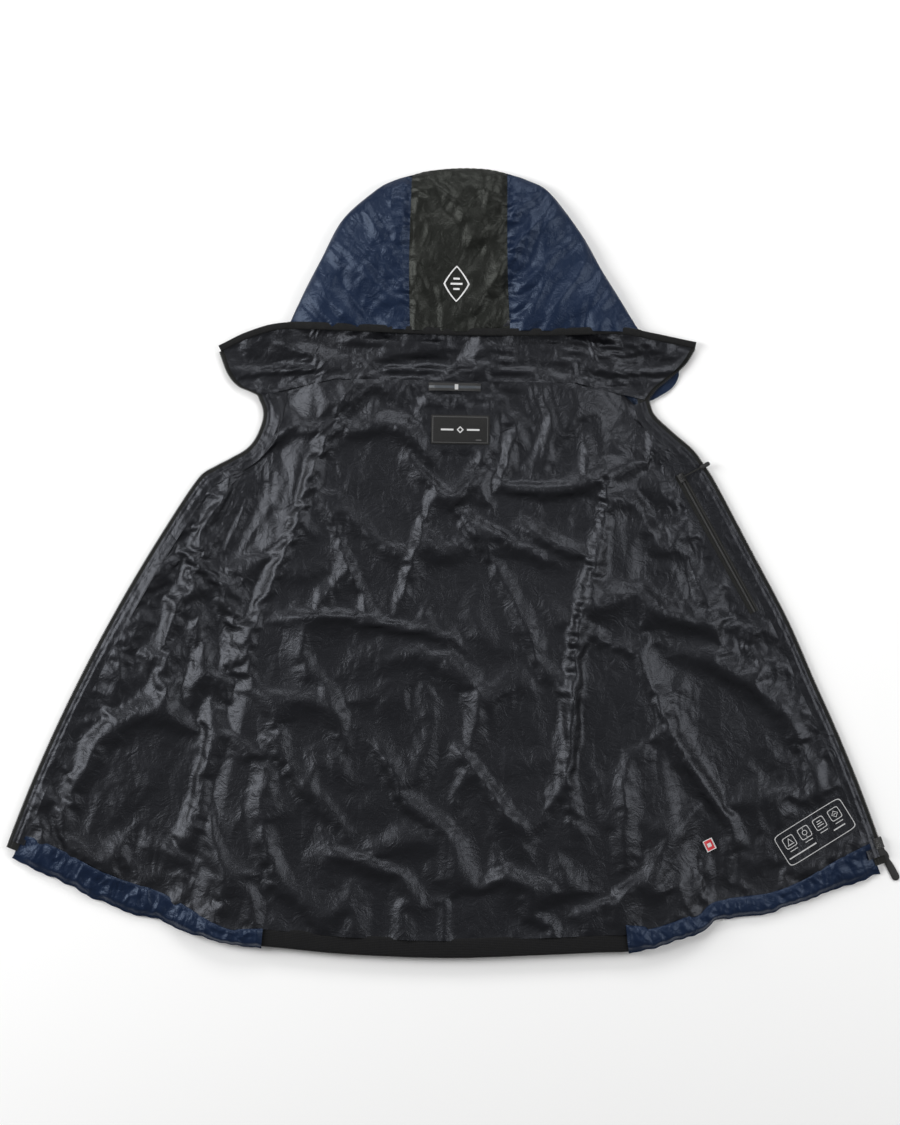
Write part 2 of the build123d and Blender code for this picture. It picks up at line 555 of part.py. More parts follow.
# ---- printed panel and side label ----
panel_spot = (HEM_CORNER[0] - PANEL_IN, HEM_CORNER[1] + PANEL_RISE)
panel = at_front(panel_spot, PANEL_TURN, Rectangle(PANEL_W, PANEL_H))
write(slab(panel, PLY, PLY + PANEL_T), "care_panel")
label_y = FOLD_HEM_Y + SIDE_LABEL_RISE
label_spot = (fold_x(label_y, SIDE_WIDTH) + SIDE_LABEL_H / 2, label_y)
side_label = at_front(label_spot, SIDE_LABEL_TURN, Rectangle(SIDE_LABEL_W, SIDE_LABEL_H))
write(slab(side_label & beyond_fold(SIDE_WIDTH), PLY, PLY + SIDE_LABEL_T), "side_label")

# ---- turning lines and runs of the moving pieces, printed for whoever sets up the joints ----
fold_axis = (fold_x(0), 0, back_top + FOLD_AXIS_RISE)
hood_axis = (0, HOOD_MOUTH_Y, HOOD_STACK + HOOD_AXIS_RISE)
run_degrees = math.degrees(SLIDER_TRAVEL / ZIP_RADIUS)
pull_axis = (slider_frame * Pos(-PULL_IN, 0, lug_z)).position
print("front folds about", fold_axis, "leaning", math.degrees(FOLD_LEAN), "degrees from -Y towards +X")
print("hood lifts about", hood_axis, "along +X")
print("main slider runs about", (*ZIP_CENTRE, ZIP_Z), "along +Z, degrees", run_degrees)
print("main pull flips about", pull_axis, "across the zip, which faces", slider_frame.orientation)
print("pocket slider runs", POCKET_SLIDER_TRAVEL, "down a line turned", pocket_turn, "degrees from -Y")
print("pocket pull swings about", cord_place.position, "along +Z")
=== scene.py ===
import json
import math

import bmesh
import bpy
import numpy as np
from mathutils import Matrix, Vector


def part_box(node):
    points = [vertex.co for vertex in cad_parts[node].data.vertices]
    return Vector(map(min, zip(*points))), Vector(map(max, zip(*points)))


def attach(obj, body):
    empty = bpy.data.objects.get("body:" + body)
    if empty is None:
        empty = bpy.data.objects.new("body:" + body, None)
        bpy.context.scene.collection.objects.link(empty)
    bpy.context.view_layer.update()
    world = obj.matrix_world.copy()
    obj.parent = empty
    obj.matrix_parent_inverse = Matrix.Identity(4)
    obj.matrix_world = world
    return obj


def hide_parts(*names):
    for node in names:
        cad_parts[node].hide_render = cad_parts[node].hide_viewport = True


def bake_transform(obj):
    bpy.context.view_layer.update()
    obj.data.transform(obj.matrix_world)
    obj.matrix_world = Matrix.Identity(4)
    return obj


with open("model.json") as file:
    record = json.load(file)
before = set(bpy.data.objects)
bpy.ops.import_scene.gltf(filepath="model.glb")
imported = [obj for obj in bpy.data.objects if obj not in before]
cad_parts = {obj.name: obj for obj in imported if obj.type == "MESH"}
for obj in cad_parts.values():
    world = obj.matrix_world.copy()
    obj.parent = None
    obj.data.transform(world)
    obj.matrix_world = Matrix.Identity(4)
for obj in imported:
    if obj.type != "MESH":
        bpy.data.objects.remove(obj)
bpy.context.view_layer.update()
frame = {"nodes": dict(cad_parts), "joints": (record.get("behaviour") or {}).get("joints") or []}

# ---- the table, the lamps and the camera ----
# The jacket lies open on a pale table. Two long soft boxes stand low on its left and right and one above
# its hood, so that every fold of the glossy cloth catches a soft streak, and the camera looks straight down.
CAMERA_HEIGHT = 4.0
CAMERA_SPOT = (-0.0021, -0.0032)
CAMERA_TURN = math.radians(1.0)
VIEW_HEIGHT = 1.429          # of the table that the camera takes in
SENSOR = 24.0
LAYER_MIDDLE = 0.015
TABLE_HALF = 6.0
PALE = (0.93, 0.93, 0.925)

lens_data = bpy.data.cameras.new("camera")
lens_data.sensor_fit = "VERTICAL"
lens_data.sensor_height = SENSOR
lens_data.lens = SENSOR * (CAMERA_HEIGHT - LAYER_MIDDLE) / VIEW_HEIGHT
camera = bpy.data.objects.new("camera", lens_data)
camera.location = (*CAMERA_SPOT, CAMERA_HEIGHT)
camera.rotation_euler = (0, 0, CAMERA_TURN)
bpy.context.scene.collection.objects.link(camera)
bpy.context.scene.camera = camera
bpy.context.scene.view_settings.view_transform = "Standard"


def soft_box(name, place, size, watts):
    """A rectangular lamp at a place, facing the middle of the jacket."""
    data = bpy.data.lights.new(name, "AREA")
    data.shape = "RECTANGLE"
    data.size, data.size_y = size
    data.energy = watts
    lamp = bpy.data.objects.new(name, data)
    lamp.location = place
    away = np.array(place) / np.linalg.norm(place)
    lamp.rotation_euler = (math.acos(away[2]), 0, math.atan2(away[1], away[0]) + math.pi / 2)
    bpy.context.scene.collection.objects.link(lamp)


soft_box("left_lamp", (-2.3, 0.5, 1.7), (1.0, 2.6), 74)
soft_box("right_lamp", (2.3, 0.2, 1.9), (1.0, 2.6), 40)
soft_box("top_lamp", (0.2, 2.5, 1.8), (2.4, 0.9), 40)
world = bpy.data.worlds.new("studio")
bpy.context.scene.world = world
world.use_nodes = True
world.node_tree.nodes["Background"].inputs["Color"].default_value = (1.0, 1.0, 1.0, 1.0)
world.node_tree.nodes["Background"].inputs["Strength"].default_value = 0.20


class Wire:
    """One output in a finish. Sums written on it add Math nodes to that finish."""

    def __init__(self, finish, socket):
        self.finish = finish
        self.socket = socket

    def sum(self, operation, a, b):
        return self.finish.calc(operation, a, b)

    def __add__(self, other):
        return self.sum("ADD", self, other)

    def __sub__(self, other):
        return self.sum("SUBTRACT", self, other)

    def __rsub__(self, other):
        return self.sum("SUBTRACT", other, self)

    def __mul__(self, other):
        return self.sum("MULTIPLY", self, other)

    def __gt__(self, other):
        return self.sum("GREATER_THAN", self, other)

    def __lt__(self, other):
        return self.sum("LESS_THAN", self, other)

    __radd__ = __add__
    __rmul__ = __mul__


class Finish:
    """A material being made: its shader, a method that adds any other node, and short ones for the nodes
    that come up again and again."""

    def __init__(self, name, **constants):
        self.material = bpy.data.materials.new(name)
        self.material.use_nodes = True
        self.tree = self.material.node_tree
        self.shader = self.tree.nodes["Principled BSDF"]
        for socket, value in constants.items():
            self.shader.inputs[socket.replace("_", " ")].default_value = value

    def node(self, kind, settings=None, sockets=None, out=0):
        """Adds a node, sets it up, fills its sockets with values or wires, and gives one output."""
        made = self.tree.nodes.new("ShaderNode" + kind)
        for name, value in (settings or {}).items():
            setattr(made, name, value)
        for key, value in (sockets or {}).items():
            if isinstance(value, Wire):
                self.tree.links.new(value.socket, made.inputs[key])
            else:
                made.inputs[key].default_value = value
        return Wire(self, made.outputs[out])

    def calc(self, operation, *values, clamp=False):
        """A Math node on one or two values."""
        return self.node("Math", {"operation": operation, "use_clamp": clamp}, dict(enumerate(values)))

    def place(self):
        """The object's own coordinates."""
        return self.node("TexCoord", out=3)

    def specks(self, scale, detail, distortion=0.0, place=None):
        """Smooth noise through the object, from 0 to 1."""
        return self.node("TexNoise", {}, {"Vector": place or self.place(), "Scale": scale, "Detail": detail,
                                          "Distortion": distortion})

    def bump(self, strength, distance, height):
        return self.node("Bump", {}, {"Strength": strength, "Distance": distance, "Height": height})

    def feed(self, **wires):
        for socket, wire in wires.items():
            self.tree.links.new(wire.socket, self.shader.inputs[socket.replace("_", " ")])

    def mixed(self, share, a, b):
        """Colour a, turning into colour b with the share."""
        return self.node("Mix", {"data_type": "RGBA"}, {0: share, 6: a, 7: b}, out=2)


def grey(value):
    """A neutral colour."""
    return (value, value, value, 1.0)


table_finish = Finish("table_paper", Roughness=0.9)
flecks = table_finish.node("TexNoise", {}, {"Scale": 3.0, "Detail": 6.0})
table_finish.feed(Base_Color=table_finish.mixed(flecks, (*PALE, 1.0), grey(0.96)))
table_mesh = bpy.data.meshes.new("table")
corners = [(-TABLE_HALF, -TABLE_HALF, 0), (TABLE_HALF, -TABLE_HALF, 0), (TABLE_HALF, TABLE_HALF, 0),
           (-TABLE_HALF, TABLE_HALF, 0)]
table_mesh.from_pydata(corners, [], [(0, 1, 2, 3)])
table_mesh.materials.append(table_finish.material)
table = bpy.data.objects.new("table", table_mesh)
bpy.context.scene.collection.objects.link(table)


# ---- the lining: five panels of thin glossy nylon, sewn together and to the facing all round ----
# The back panel ends at the fold lines, a narrow side panel drops from there to each front panel, and
# the cloth is cut a little too large, so it lies in soft creases between the seams.
fold = next(joint for joint in frame["joints"] if joint["name"] == "left_front_fold")
zip_run = next(joint for joint in frame["joints"] if joint["name"] == "main_slider_run")
LEAN = math.atan2(fold["axis"][0], -fold["axis"][1])
FOLD_SPOT = fold["pos_m"]
ZIP_CENTRE = zip_run["pos_m"]
NECK_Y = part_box("back_lining")[1][1]
MOUTH_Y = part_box("back_collar_lining")[1][1]
HEM_CORNER_X = 0.557
HEM_CORNER_Y = -0.3655
ZIP_RADIUS = math.hypot(HEM_CORNER_X - ZIP_CENTRE[0], HEM_CORNER_Y - ZIP_CENTRE[1])
SIDE_WIDTH = 0.054           # fold line to side seam
EDGE_IN = 0.0095             # teeth and tape
FACING_W = 0.010
TURNUP = 0.036
BAND_DEPTH = 0.021
BAND_HALF = 0.237
BACK_TOP = 0.0203            # height of the back's lining over the sleeves
FRONT_TOP = 0.0088           # and of a front's
COLLAR_TOP = 0.0165
CLOTH = 0.0006               # thickness of the nylon
NECK_EDGE = {                # each front's edge above the zip run: neck curve, then up to the collar tip
    1: [(0.429, -0.069), (0.383, 0.015), (0.335, 0.102), (0.318, 0.128), (0.304, 0.146), (0.280, 0.166),
        (0.255, 0.189), (0.2475, 0.208)],
    -1: [(-0.306, 0.112), (-0.286, 0.123), (-0.262, 0.138), (-0.249, 0.157), (-0.2425, 0.183),
         (-0.2505, 0.2055)],
}
RUN_TOP = {1: (0.4635, -0.150), -1: (0.325, 0.095)}      # where each front's edge leaves the slider's run
WING_EDGE = {1: [(0.2475, 0.208), (0.257, 0.222), (0.272, 0.235), (0.293, 0.254), (0.307, 0.277)],
             -1: [(-0.2505, 0.2055), (-0.262, 0.211), (-0.276, 0.217), (-0.289, 0.232), (-0.301, 0.262)]}
HEM = [(-0.572, -0.371), (-0.545, -0.390), (-0.500, -0.410), (-0.440, -0.437), (-0.395, -0.455),
       (-0.365, -0.461), (-0.345, -0.470), (-0.300, -0.483), (-0.262, -0.4905), (-0.200, -0.4960),
       (-0.120, -0.5020), (0.0, -0.5045), (0.100, -0.5000), (0.190, -0.4945), (0.238, -0.4915),
       (0.279, -0.4800), (0.320, -0.4660), (0.342, -0.4480), (0.362, -0.4470), (0.400, -0.4420),
       (0.440, -0.4280), (0.490, -0.4090), (0.535, -0.3930), (0.568, -0.3800)]
TURNUP_TOP = [(-0.572, -0.3400), (-0.547, -0.3525), (-0.500, -0.3730), (-0.455, -0.3960), (-0.409, -0.4136),
              (-0.363, -0.4300), (-0.332, -0.4465), (-0.301, -0.4630), (-0.271, -0.4735), (-0.240, -0.4715),
              (0.0, -0.4700), (0.240, -0.4580), (0.259, -0.4622), (0.289, -0.4550), (0.319, -0.4415),
              (0.350, -0.4265), (0.395, -0.4190), (0.425, -0.4117), (0.456, -0.3990), (0.486, -0.3815),
              (0.516, -0.3640), (0.547, -0.3480), (0.568, -0.3370)]
COLUMNS_FRONT, COLUMNS_SIDE, COLUMNS_BACK, ROWS = 26, 8, 50, 92


def cubic(a, b, c, d, f):
    """Point at the share f from b to c on a cubic curve whose slope at each is half its neighbours' step."""
    return 0.5 * (2 * b + (c - a) * f + (2 * a - 5 * b + 4 * c - d) * f**2 + (3 * b - a - 3 * c + d) * f**3)


def smooth_path(points, count):
    """A cubic curve through the points, given again as evenly spaced points."""
    points = np.array(points, float)
    padded = np.vstack([2 * points[0] - points[1], points, 2 * points[-1] - points[-2]])
    place = np.linspace(0, len(points) - 1, 40 * len(points))
    index = np.minimum(place.astype(int), len(points) - 2)
    f = (place - index)[:, None]
    dense = cubic(padded[index], padded[index + 1], padded[index + 2], padded[index + 3], f)
    run = np.concatenate([[0], np.cumsum(np.linalg.norm(np.diff(dense, axis=0), axis=1))])
    even = np.linspace(0, run[-1], count)
    return np.column_stack([np.interp(even, run, dense[:, k]) for k in range(points.shape[1])])


def fold_x(y, out=0.0):
    """x of the left fold line at a height, moved outward at right angles to it."""
    return FOLD_SPOT[0] + (FOLD_SPOT[1] - y) * math.tan(LEAN) + out / math.cos(LEAN)


def beyond_fold(x, y):
    """Distance outward of the nearer fold line, less than zero over the back."""
    return (np.abs(x) - fold_x(y)) * math.cos(LEAN)


def smooth_step(t):
    t = np.clip(t, 0, 1)
    return t * t * (3 - 2 * t)


hem_line = smooth_path(HEM, 600)
turnup_line = smooth_path(TURNUP_TOP, 600)


def hem_y(x):
    return np.interp(x, hem_line[:, 0], hem_line[:, 1])


def turnup_y(x):
    """Upper edge of the hem's turn-ups, which is straighter than the hem."""
    return np.interp(x, turnup_line[:, 0], turnup_line[:, 1])


def front_edge(side, inset, count):
    """A front's edge from the hem corner up the zip run and round the neck curve, moved in by an inset."""
    angles = np.linspace(math.atan2(HEM_CORNER_Y - ZIP_CENTRE[1], HEM_CORNER_X - ZIP_CENTRE[0]),
                         math.atan2(RUN_TOP[side][1] - ZIP_CENTRE[1], RUN_TOP[side][0] - ZIP_CENTRE[0]), 7)
    run = np.column_stack([side * (ZIP_CENTRE[0] + ZIP_RADIUS * np.cos(angles)),
                           ZIP_CENTRE[1] + ZIP_RADIUS * np.sin(angles)])
    path = smooth_path(np.vstack([run, NECK_EDGE[side]]), count)
    along = np.gradient(path, axis=0)
    along /= np.linalg.norm(along, axis=1)[:, None]
    return path + inset * side * np.column_stack([-along[:, 1], along[:, 0]])


def noise(x, y, seed):
    """Smooth noise from about -1 to 1: random slopes on a unit lattice, blended by a smooth step."""
    turns = np.random.default_rng(seed).uniform(0, 2 * np.pi, (64, 64))
    i, j = np.floor(x).astype(int), np.floor(y).astype(int)

    def slope(i, j):
        turn = turns[i % 64, j % 64]
        return np.cos(turn) * (x - i) + np.sin(turn) * (y - j)

    fx, fy = x - i, y - j
    sx, sy = fx**3 * (fx * (fx * 6 - 15) + 10), fy**3 * (fy * (fy * 6 - 15) + 10)
    low = slope(i, j) * (1 - sx) + slope(i + 1, j) * sx
    high = slope(i, j + 1) * (1 - sx) + slope(i + 1, j + 1) * sx
    return 1.5 * (low * (1 - sy) + high * sy)


def crumple(x, y, size, seed, run=90.0, stretch=1.0, octaves=3):
    """Crushed-cloth height from about -1 to 1. Each octave is noise warped by more noise and folded at zero,
    which leaves a sharp crease there; the next is half as large, half as high, turned and upside down."""
    turn = math.radians(run)
    u = (x * math.cos(turn) + y * math.sin(turn)) / (size * stretch)
    v = (y * math.cos(turn) - x * math.sin(turn)) / size
    total, height = 0.0, 1.0
    for octave in range(octaves):
        wu = u + 0.7 * noise(0.8 * u + 5.3, 0.8 * v, seed + 40 + octave)
        wv = v + 0.7 * noise(0.8 * u, 0.8 * v + 9.7, seed + 80 + octave)
        total = total + height * (1 - 3.0 * np.abs(noise(wu, wv, seed + octave)))
        u, v = 1.9 * (0.8 * u - 0.6 * v), 1.9 * (0.6 * u + 0.8 * v)
        height *= -0.5
    return total


def crease(x, y, path, width, height, skew=0.0):
    """A fold along a path: a bump that falls off with distance from it, steeper on one side by the skew and
    tapering to nothing at both ends."""
    line = smooth_path(path, 36)
    along = np.gradient(line, axis=0)
    dx, dy = x[..., None] - line[:, 0], y[..., None] - line[:, 1]
    nearest = np.argmin(dx * dx + dy * dy, axis=-1)
    pick = np.take_along_axis
    dx, dy = pick(dx, nearest[..., None], -1)[..., 0], pick(dy, nearest[..., None], -1)[..., 0]
    tx, ty = along[nearest, 0], along[nearest, 1]
    off = np.hypot(dx, dy) * np.sign(tx * dy - ty * dx)
    taper = np.sin(np.pi * (nearest + 0.5) / 36) ** 0.7
    return height * taper * np.exp(-(off / (width * (1 + skew * np.sign(off)))) ** 2)


def sheet_uv(points):
    """Cloth coordinates in metres: the mean distance along the rows and up the columns."""
    across = np.linalg.norm(np.diff(points, axis=1), axis=2).mean(axis=0)
    up = np.linalg.norm(np.diff(points, axis=0), axis=2).mean(axis=1)
    u, v = np.concatenate([[0], np.cumsum(across)]), np.concatenate([[0], np.cumsum(up)])
    return np.stack(np.meshgrid(u, v), axis=-1)


def grid_object(name, points, finish):
    """A mesh of four-sided faces through a grid of points, facing up where its columns run to +X and its rows
    to +Y."""
    rows, columns = points.shape[:2]
    index = np.arange(rows * columns).reshape(rows, columns)
    quads = np.stack([index[:-1, :-1], index[:-1, 1:], index[1:, 1:], index[1:, :-1]], axis=-1).reshape(-1, 4)
    mesh = bpy.data.meshes.new(name)
    mesh.from_pydata(points.reshape(-1, 3), [], quads)
    corners_uv = sheet_uv(points).reshape(-1, 2)[quads.ravel()]
    mesh.uv_layers.new(name="cloth").data.foreach_set("uv", corners_uv.ravel())
    mesh.polygons.foreach_set("use_smooth", np.ones(len(quads), bool))
    if finish:
        mesh.materials.append(finish.material)
    made = bpy.data.objects.new(name, mesh)
    bpy.context.scene.collection.objects.link(made)
    return made


def settled_mesh(piece):
    """Puts the result of a piece's modifiers into its mesh, so that none is left on it."""
    bpy.context.view_layer.update()
    shown = piece.evaluated_get(bpy.context.evaluated_depsgraph_get())
    mesh = bpy.data.meshes.new_from_object(shown)
    piece.modifiers.clear()
    piece.data = mesh
    mesh.name = piece.name
    mesh.set_sharp_from_angle(angle=math.radians(60))
    return piece


def cloth_piece(name, points, finish, thickness=CLOTH):
    """A sheet of cloth with a thickness below its upper face."""
    piece = grid_object(name, points, finish)
    wall = piece.modifiers.new("wall", "SOLIDIFY")
    wall.thickness, wall.offset = thickness, -1.0
    return settled_mesh(piece)


def sheet_size(points):
    """The rectangle that a sheet was cut from, and its own area, both in metres."""
    across = np.linalg.norm(np.diff(points, axis=1), axis=2).sum(axis=1).max()
    up = np.linalg.norm(np.diff(points, axis=0), axis=2).sum(axis=0).max()
    a, b = points[1:, 1:] - points[:-1, :-1], points[1:, :-1] - points[:-1, 1:]
    area = 0.5 * np.linalg.norm(np.cross(a, b), axis=2).sum()
    return (float(across), float(up)), float(min(area, across * up))


def say_sheet(piece, points, held, *nodes, slot=None):
    """Declares a piece as a sheet of cloth, with the nodes that it stands for and its finish's slot."""
    # Hides the nodes that a sheet of cloth stands for, after working out its flat size and area, which are
    # not kept; the slot is not used.
    flat, area = sheet_size(points)
    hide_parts(*nodes)


def finer(points, times):
    """The same sheet with more rows and columns, its new points on cubic curves through the old ones."""
    for axis in (0, 1):
        points = np.moveaxis(points, axis, 0)
        count = len(points)
        padded = np.concatenate([2 * points[:1] - points[1:2], points, 2 * points[-1:] - points[-2:-1]])
        place = np.linspace(0, count - 1, (count - 1) * times + 1)
        i = np.minimum(place.astype(int), count - 2)
        f = (place - i).reshape(-1, 1, 1)
        points = cubic(padded[i], padded[i + 1], padded[i + 2], padded[i + 3], f)
        points = np.moveaxis(points, 0, axis)
    return points


def settle(points, held, extra, lowest, frames=24, bending=4.0, cap=0.009):
    """Lets a sheet with extra cloth in it sink and wrinkle between the places where it is held, above a
    surface that lies a little below it, and gives its points again, none moved further than the cap."""
    sheet = grid_object("settling_sheet", points, None)
    bed = grid_object("settling_bed", np.dstack([points[..., :2], points[..., 2] - lowest]), None)
    bed.modifiers.new("Collision", "COLLISION")
    bed.collision.thickness_outer = 0.001
    group = sheet.vertex_groups.new(name="held")
    group.add([int(k) for k in np.flatnonzero(held.ravel())], 1.0, "REPLACE")
    cloth = sheet.modifiers.new("Cloth", "CLOTH")
    cloth.settings.vertex_group_mass = "held"
    cloth.settings.quality = 5
    cloth.settings.mass = 0.1
    cloth.settings.bending_stiffness = bending
    cloth.settings.tension_stiffness = 20
    cloth.settings.compression_stiffness = 20
    cloth.settings.shear_stiffness = 8
    cloth.settings.shrink_min = -extra
    cloth.settings.effector_weights.gravity = 0.25
    cloth.collision_settings.distance_min = 0.001
    scene = bpy.context.scene
    for step in range(1, frames + 1):
        scene.frame_set(step)
    shown = sheet.evaluated_get(bpy.context.evaluated_depsgraph_get())
    found = np.empty(points.size)
    shown.data.vertices.foreach_get("co", found)
    scene.frame_set(1)
    for used in (sheet, bed):
        bpy.data.objects.remove(used)
    moved = found.reshape(points.shape) - points
    size = np.linalg.norm(moved, axis=2, keepdims=True)
    return points + moved * np.minimum(1, cap / np.maximum(size, 1e-9))


THREAD_PITCH = 0.0011


def cloth_axes(made):
    """The two cloth coordinates, in metres."""
    split = made.tree.nodes.new("ShaderNodeSeparateXYZ")
    made.tree.links.new(made.node("UVMap", {"uv_map": "cloth"}).socket, split.inputs[0])
    return Wire(made, split.outputs[0]), Wire(made, split.outputs[1])


def nylon(name, colour, light, roughness, crinkle, gloss=0.42, cast_light=(0.86, 0.90, 1.0)):
    """Thin woven nylon: close threads along both cloth directions, a darker and lighter cast that drifts,
    flat facets between crisp creases, fine crinkles, and a gloss that is duller along them."""
    made = Finish(name, Specular_IOR_Level=gloss, Specular_Tint=(*cast_light, 1.0))
    place = made.place()
    across, up = cloth_axes(made)
    warp = made.calc("SINE", across * (2 * math.pi / THREAD_PITCH))
    weft = made.calc("SINE", up * (2 * math.pi / THREAD_PITCH))
    drift = made.specks(9.0, 3.0, place=place)
    crush = made.specks(42.0, 4.0, 1.6, place=place)
    tight = made.specks(130.0, 2.0, 1.2, place=place)
    ridge = made.calc("ABSOLUTE", crush - 0.5)
    bent = made.node("TexNoise", {}, {"Vector": place, "Scale": 11.0, "Detail": 2.0}, out=1)
    bent = made.node("VectorMath", {"operation": "MULTIPLY_ADD"}, {0: bent, 1: (0.045, 0.045, 0.0), 2: place})
    turned = made.node("Mapping", {}, {"Vector": bent, "Rotation": (0.0, 0.0, 0.35),
                                       "Scale": (1.5, 0.62, 1.0)})
    facet = made.node("TexVoronoi", {"feature": "DISTANCE_TO_EDGE", "voronoi_dimensions": "2D"},
                      {"Vector": turned, "Scale": 15.0})
    small = made.calc("ABSOLUTE", tight - 0.5)
    cast = made.mixed(drift, (*colour, 1.0), (*light, 1.0))
    threads = made.calc("MULTIPLY", warp * weft * 0.5 + 0.5, 0.16, clamp=True)
    made.feed(Base_Color=made.mixed(threads, cast, (*light, 1.0)))
    made.feed(Roughness=roughness + 0.10 * drift + 0.10 * ridge)
    height = ridge * -2.6 + small * -0.8 + facet * drift * 9.0 + warp * weft * 0.02
    made.feed(Normal=made.bump(crinkle, 0.0011, height))
    return made


lining_nylon = nylon("lining_nylon", (0.0026, 0.0027, 0.0036), (0.0060, 0.0061, 0.0076), 0.33, 0.52)


LONG_FOLDS = [                 # path, width, height and skew of each
    # the back's left side: a step down into the armhole, and its bunched cloth
    ([(-0.108, 0.222), (-0.165, 0.135), (-0.193, 0.045), (-0.222, -0.03), (-0.248, -0.11), (-0.250, -0.16)],
     0.012, 0.0055, -0.45),
    ([(-0.125, 0.215), (-0.190, 0.120), (-0.213, 0.035), (-0.243, -0.035), (-0.268, -0.10),
     (-0.262, -0.15)], 0.009, -0.0045, 0.0),
    ([(-0.240, 0.010), (-0.285, -0.035), (-0.272, -0.100), (-0.290, -0.170)], 0.016, 0.0050, 0.3),
    ([(-0.300, 0.070), (-0.330, -0.020), (-0.318, -0.120), (-0.330, -0.210)], 0.015, 0.0040, 0.3),
    # two straight folds that meet low on the left of the back, and the seam fold across them
    ([(-0.160, 0.075), (-0.130, -0.005), (-0.100, -0.065), (-0.077, -0.092)], 0.0075, 0.0036, -0.4),
    ([(-0.024, 0.085), (-0.052, -0.005), (-0.066, -0.060), (-0.077, -0.095)], 0.0085, 0.0036, 0.4),
    ([(-0.228, -0.083), (-0.140, -0.080), (-0.062, -0.090), (0.010, -0.106)], 0.006, 0.0026, 0.4),
    # from the neck to the middle
    ([(-0.060, 0.135), (-0.030, 0.100), (0.000, 0.078), (0.030, 0.105)], 0.009, 0.0040, -0.3),
    ([(-0.120, 0.165), (-0.060, 0.160), (-0.010, 0.090)], 0.014, 0.0030, 0.3),
    ([(0.062, 0.200), (0.070, 0.130), (0.066, 0.095), (0.135, 0.092), (0.190, 0.105)], 0.0085, 0.0034, 0.0),
    ([(0.075, 0.050), (0.100, 0.035), (0.150, 0.010), (0.195, 0.006)], 0.010, 0.0034, 0.4),
    ([(0.012, 0.060), (0.055, -0.010), (0.090, -0.080), (0.115, -0.140), (0.150, -0.175)],
     0.013, 0.0046, 0.35),
    # the back's right side
    ([(0.185, 0.175), (0.192, 0.100), (0.180, 0.000), (0.162, -0.080), (0.153, -0.180), (0.150, -0.290),
     (0.172, -0.370)], 0.011, 0.0060, 0.45),
    ([(0.178, -0.060), (0.170, -0.150), (0.166, -0.260), (0.190, -0.350), (0.200, -0.430)],
     0.010, -0.0048, 0.0),
    ([(0.120, -0.130), (0.152, -0.165), (0.158, -0.240), (0.135, -0.310), (0.110, -0.345)],
     0.010, 0.0045, -0.4),
    # the waist and the hem of the back
    ([(0.000, -0.225), (0.040, -0.270), (0.075, -0.320), (0.100, -0.335)], 0.011, 0.0060, -0.4),
    ([(-0.100, -0.225), (-0.070, -0.275), (-0.055, -0.310), (-0.005, -0.345)], 0.010, 0.0052, 0.4),
    ([(-0.240, -0.215), (-0.200, -0.270), (-0.150, -0.330)], 0.012, 0.0040, 0.3),
    ([(-0.150, -0.370), (-0.090, -0.388), (-0.040, -0.408)], 0.009, 0.0050, -0.5),
    ([(-0.235, -0.260), (-0.235, -0.340), (-0.210, -0.430)], 0.012, 0.0045, 0.4),
    ([(0.040, -0.420), (0.080, -0.400), (0.130, -0.430)], 0.010, 0.0036, 0.0),
    ([(-0.180, -0.130), (-0.140, -0.200), (-0.130, -0.280)], 0.014, 0.0040, -0.3),
    ([(-0.050, -0.110), (0.010, -0.160), (0.040, -0.215)], 0.014, 0.0036, 0.3),
    # the wearer's left front
    ([(0.170, -0.085), (0.200, -0.105), (0.240, -0.125), (0.262, -0.175), (0.310, -0.260), (0.360, -0.330)],
     0.011, 0.0052, 0.45),
    ([(0.215, -0.180), (0.245, -0.190), (0.330, -0.290), (0.372, -0.370)], 0.012, 0.0034, 0.0),
    ([(0.215, 0.160), (0.235, 0.080), (0.275, 0.000), (0.300, -0.080)], 0.018, 0.0042, -0.3),
    ([(0.250, 0.120), (0.300, 0.010), (0.345, -0.080)], 0.015, 0.0030, 0.4),
    ([(0.200, -0.030), (0.290, -0.070), (0.400, -0.085)], 0.016, 0.0034, 0.0),
    ([(0.230, -0.200), (0.225, -0.300), (0.232, -0.420)], 0.010, 0.0040, 0.0),
    ([(0.250, -0.090), (0.380, -0.150), (0.450, -0.230)], 0.020, 0.0040, 0.3),
    # the wearer's right front
    ([(-0.270, 0.120), (-0.310, 0.040), (-0.350, -0.080), (-0.372, -0.220)], 0.016, 0.0046, 0.4),
    ([(-0.330, 0.030), (-0.400, -0.090), (-0.440, -0.210)], 0.018, 0.0040, -0.3),
    ([(-0.300, -0.180), (-0.310, -0.280), (-0.350, -0.400)], 0.014, 0.0040, 0.4),
    ([(-0.300, 0.090), (-0.360, 0.070), (-0.380, 0.020)], 0.014, 0.0030, 0.0),
    ([(-0.420, -0.180), (-0.470, -0.290), (-0.500, -0.360)], 0.014, 0.0036, 0.3),
]
FOLD_GAIN = 1.25


def creases(x, y):
    """Height of the long folds that lie in the lining, each by its own path from end to end."""
    total = 0.0
    for path, width, height, skew in LONG_FOLDS:
        total = total + crease(x, y, path, width, height, skew)
    return FOLD_GAIN * total


def seam_pucker(x, y, path, pitch, reach, height, seed):
    """A sewn seam: a narrow groove along a path with short gathers beside it that fade with distance."""
    line = smooth_path(path, 90)
    step = np.linalg.norm(line[1] - line[0])
    dx, dy = x[..., None] - line[:, 0], y[..., None] - line[:, 1]
    far = dx * dx + dy * dy
    nearest = np.argmin(far, axis=-1)
    off = np.sqrt(np.take_along_axis(far, nearest[..., None], -1)[..., 0])
    inside = ((nearest > 0) & (nearest < 89)).astype(float)
    gathers = noise(nearest * step / pitch, off / (4 * pitch), seed)
    return inside * (height * gathers * np.exp(-off / reach) - 0.0011 * np.exp(-(off / 0.0035) ** 2))


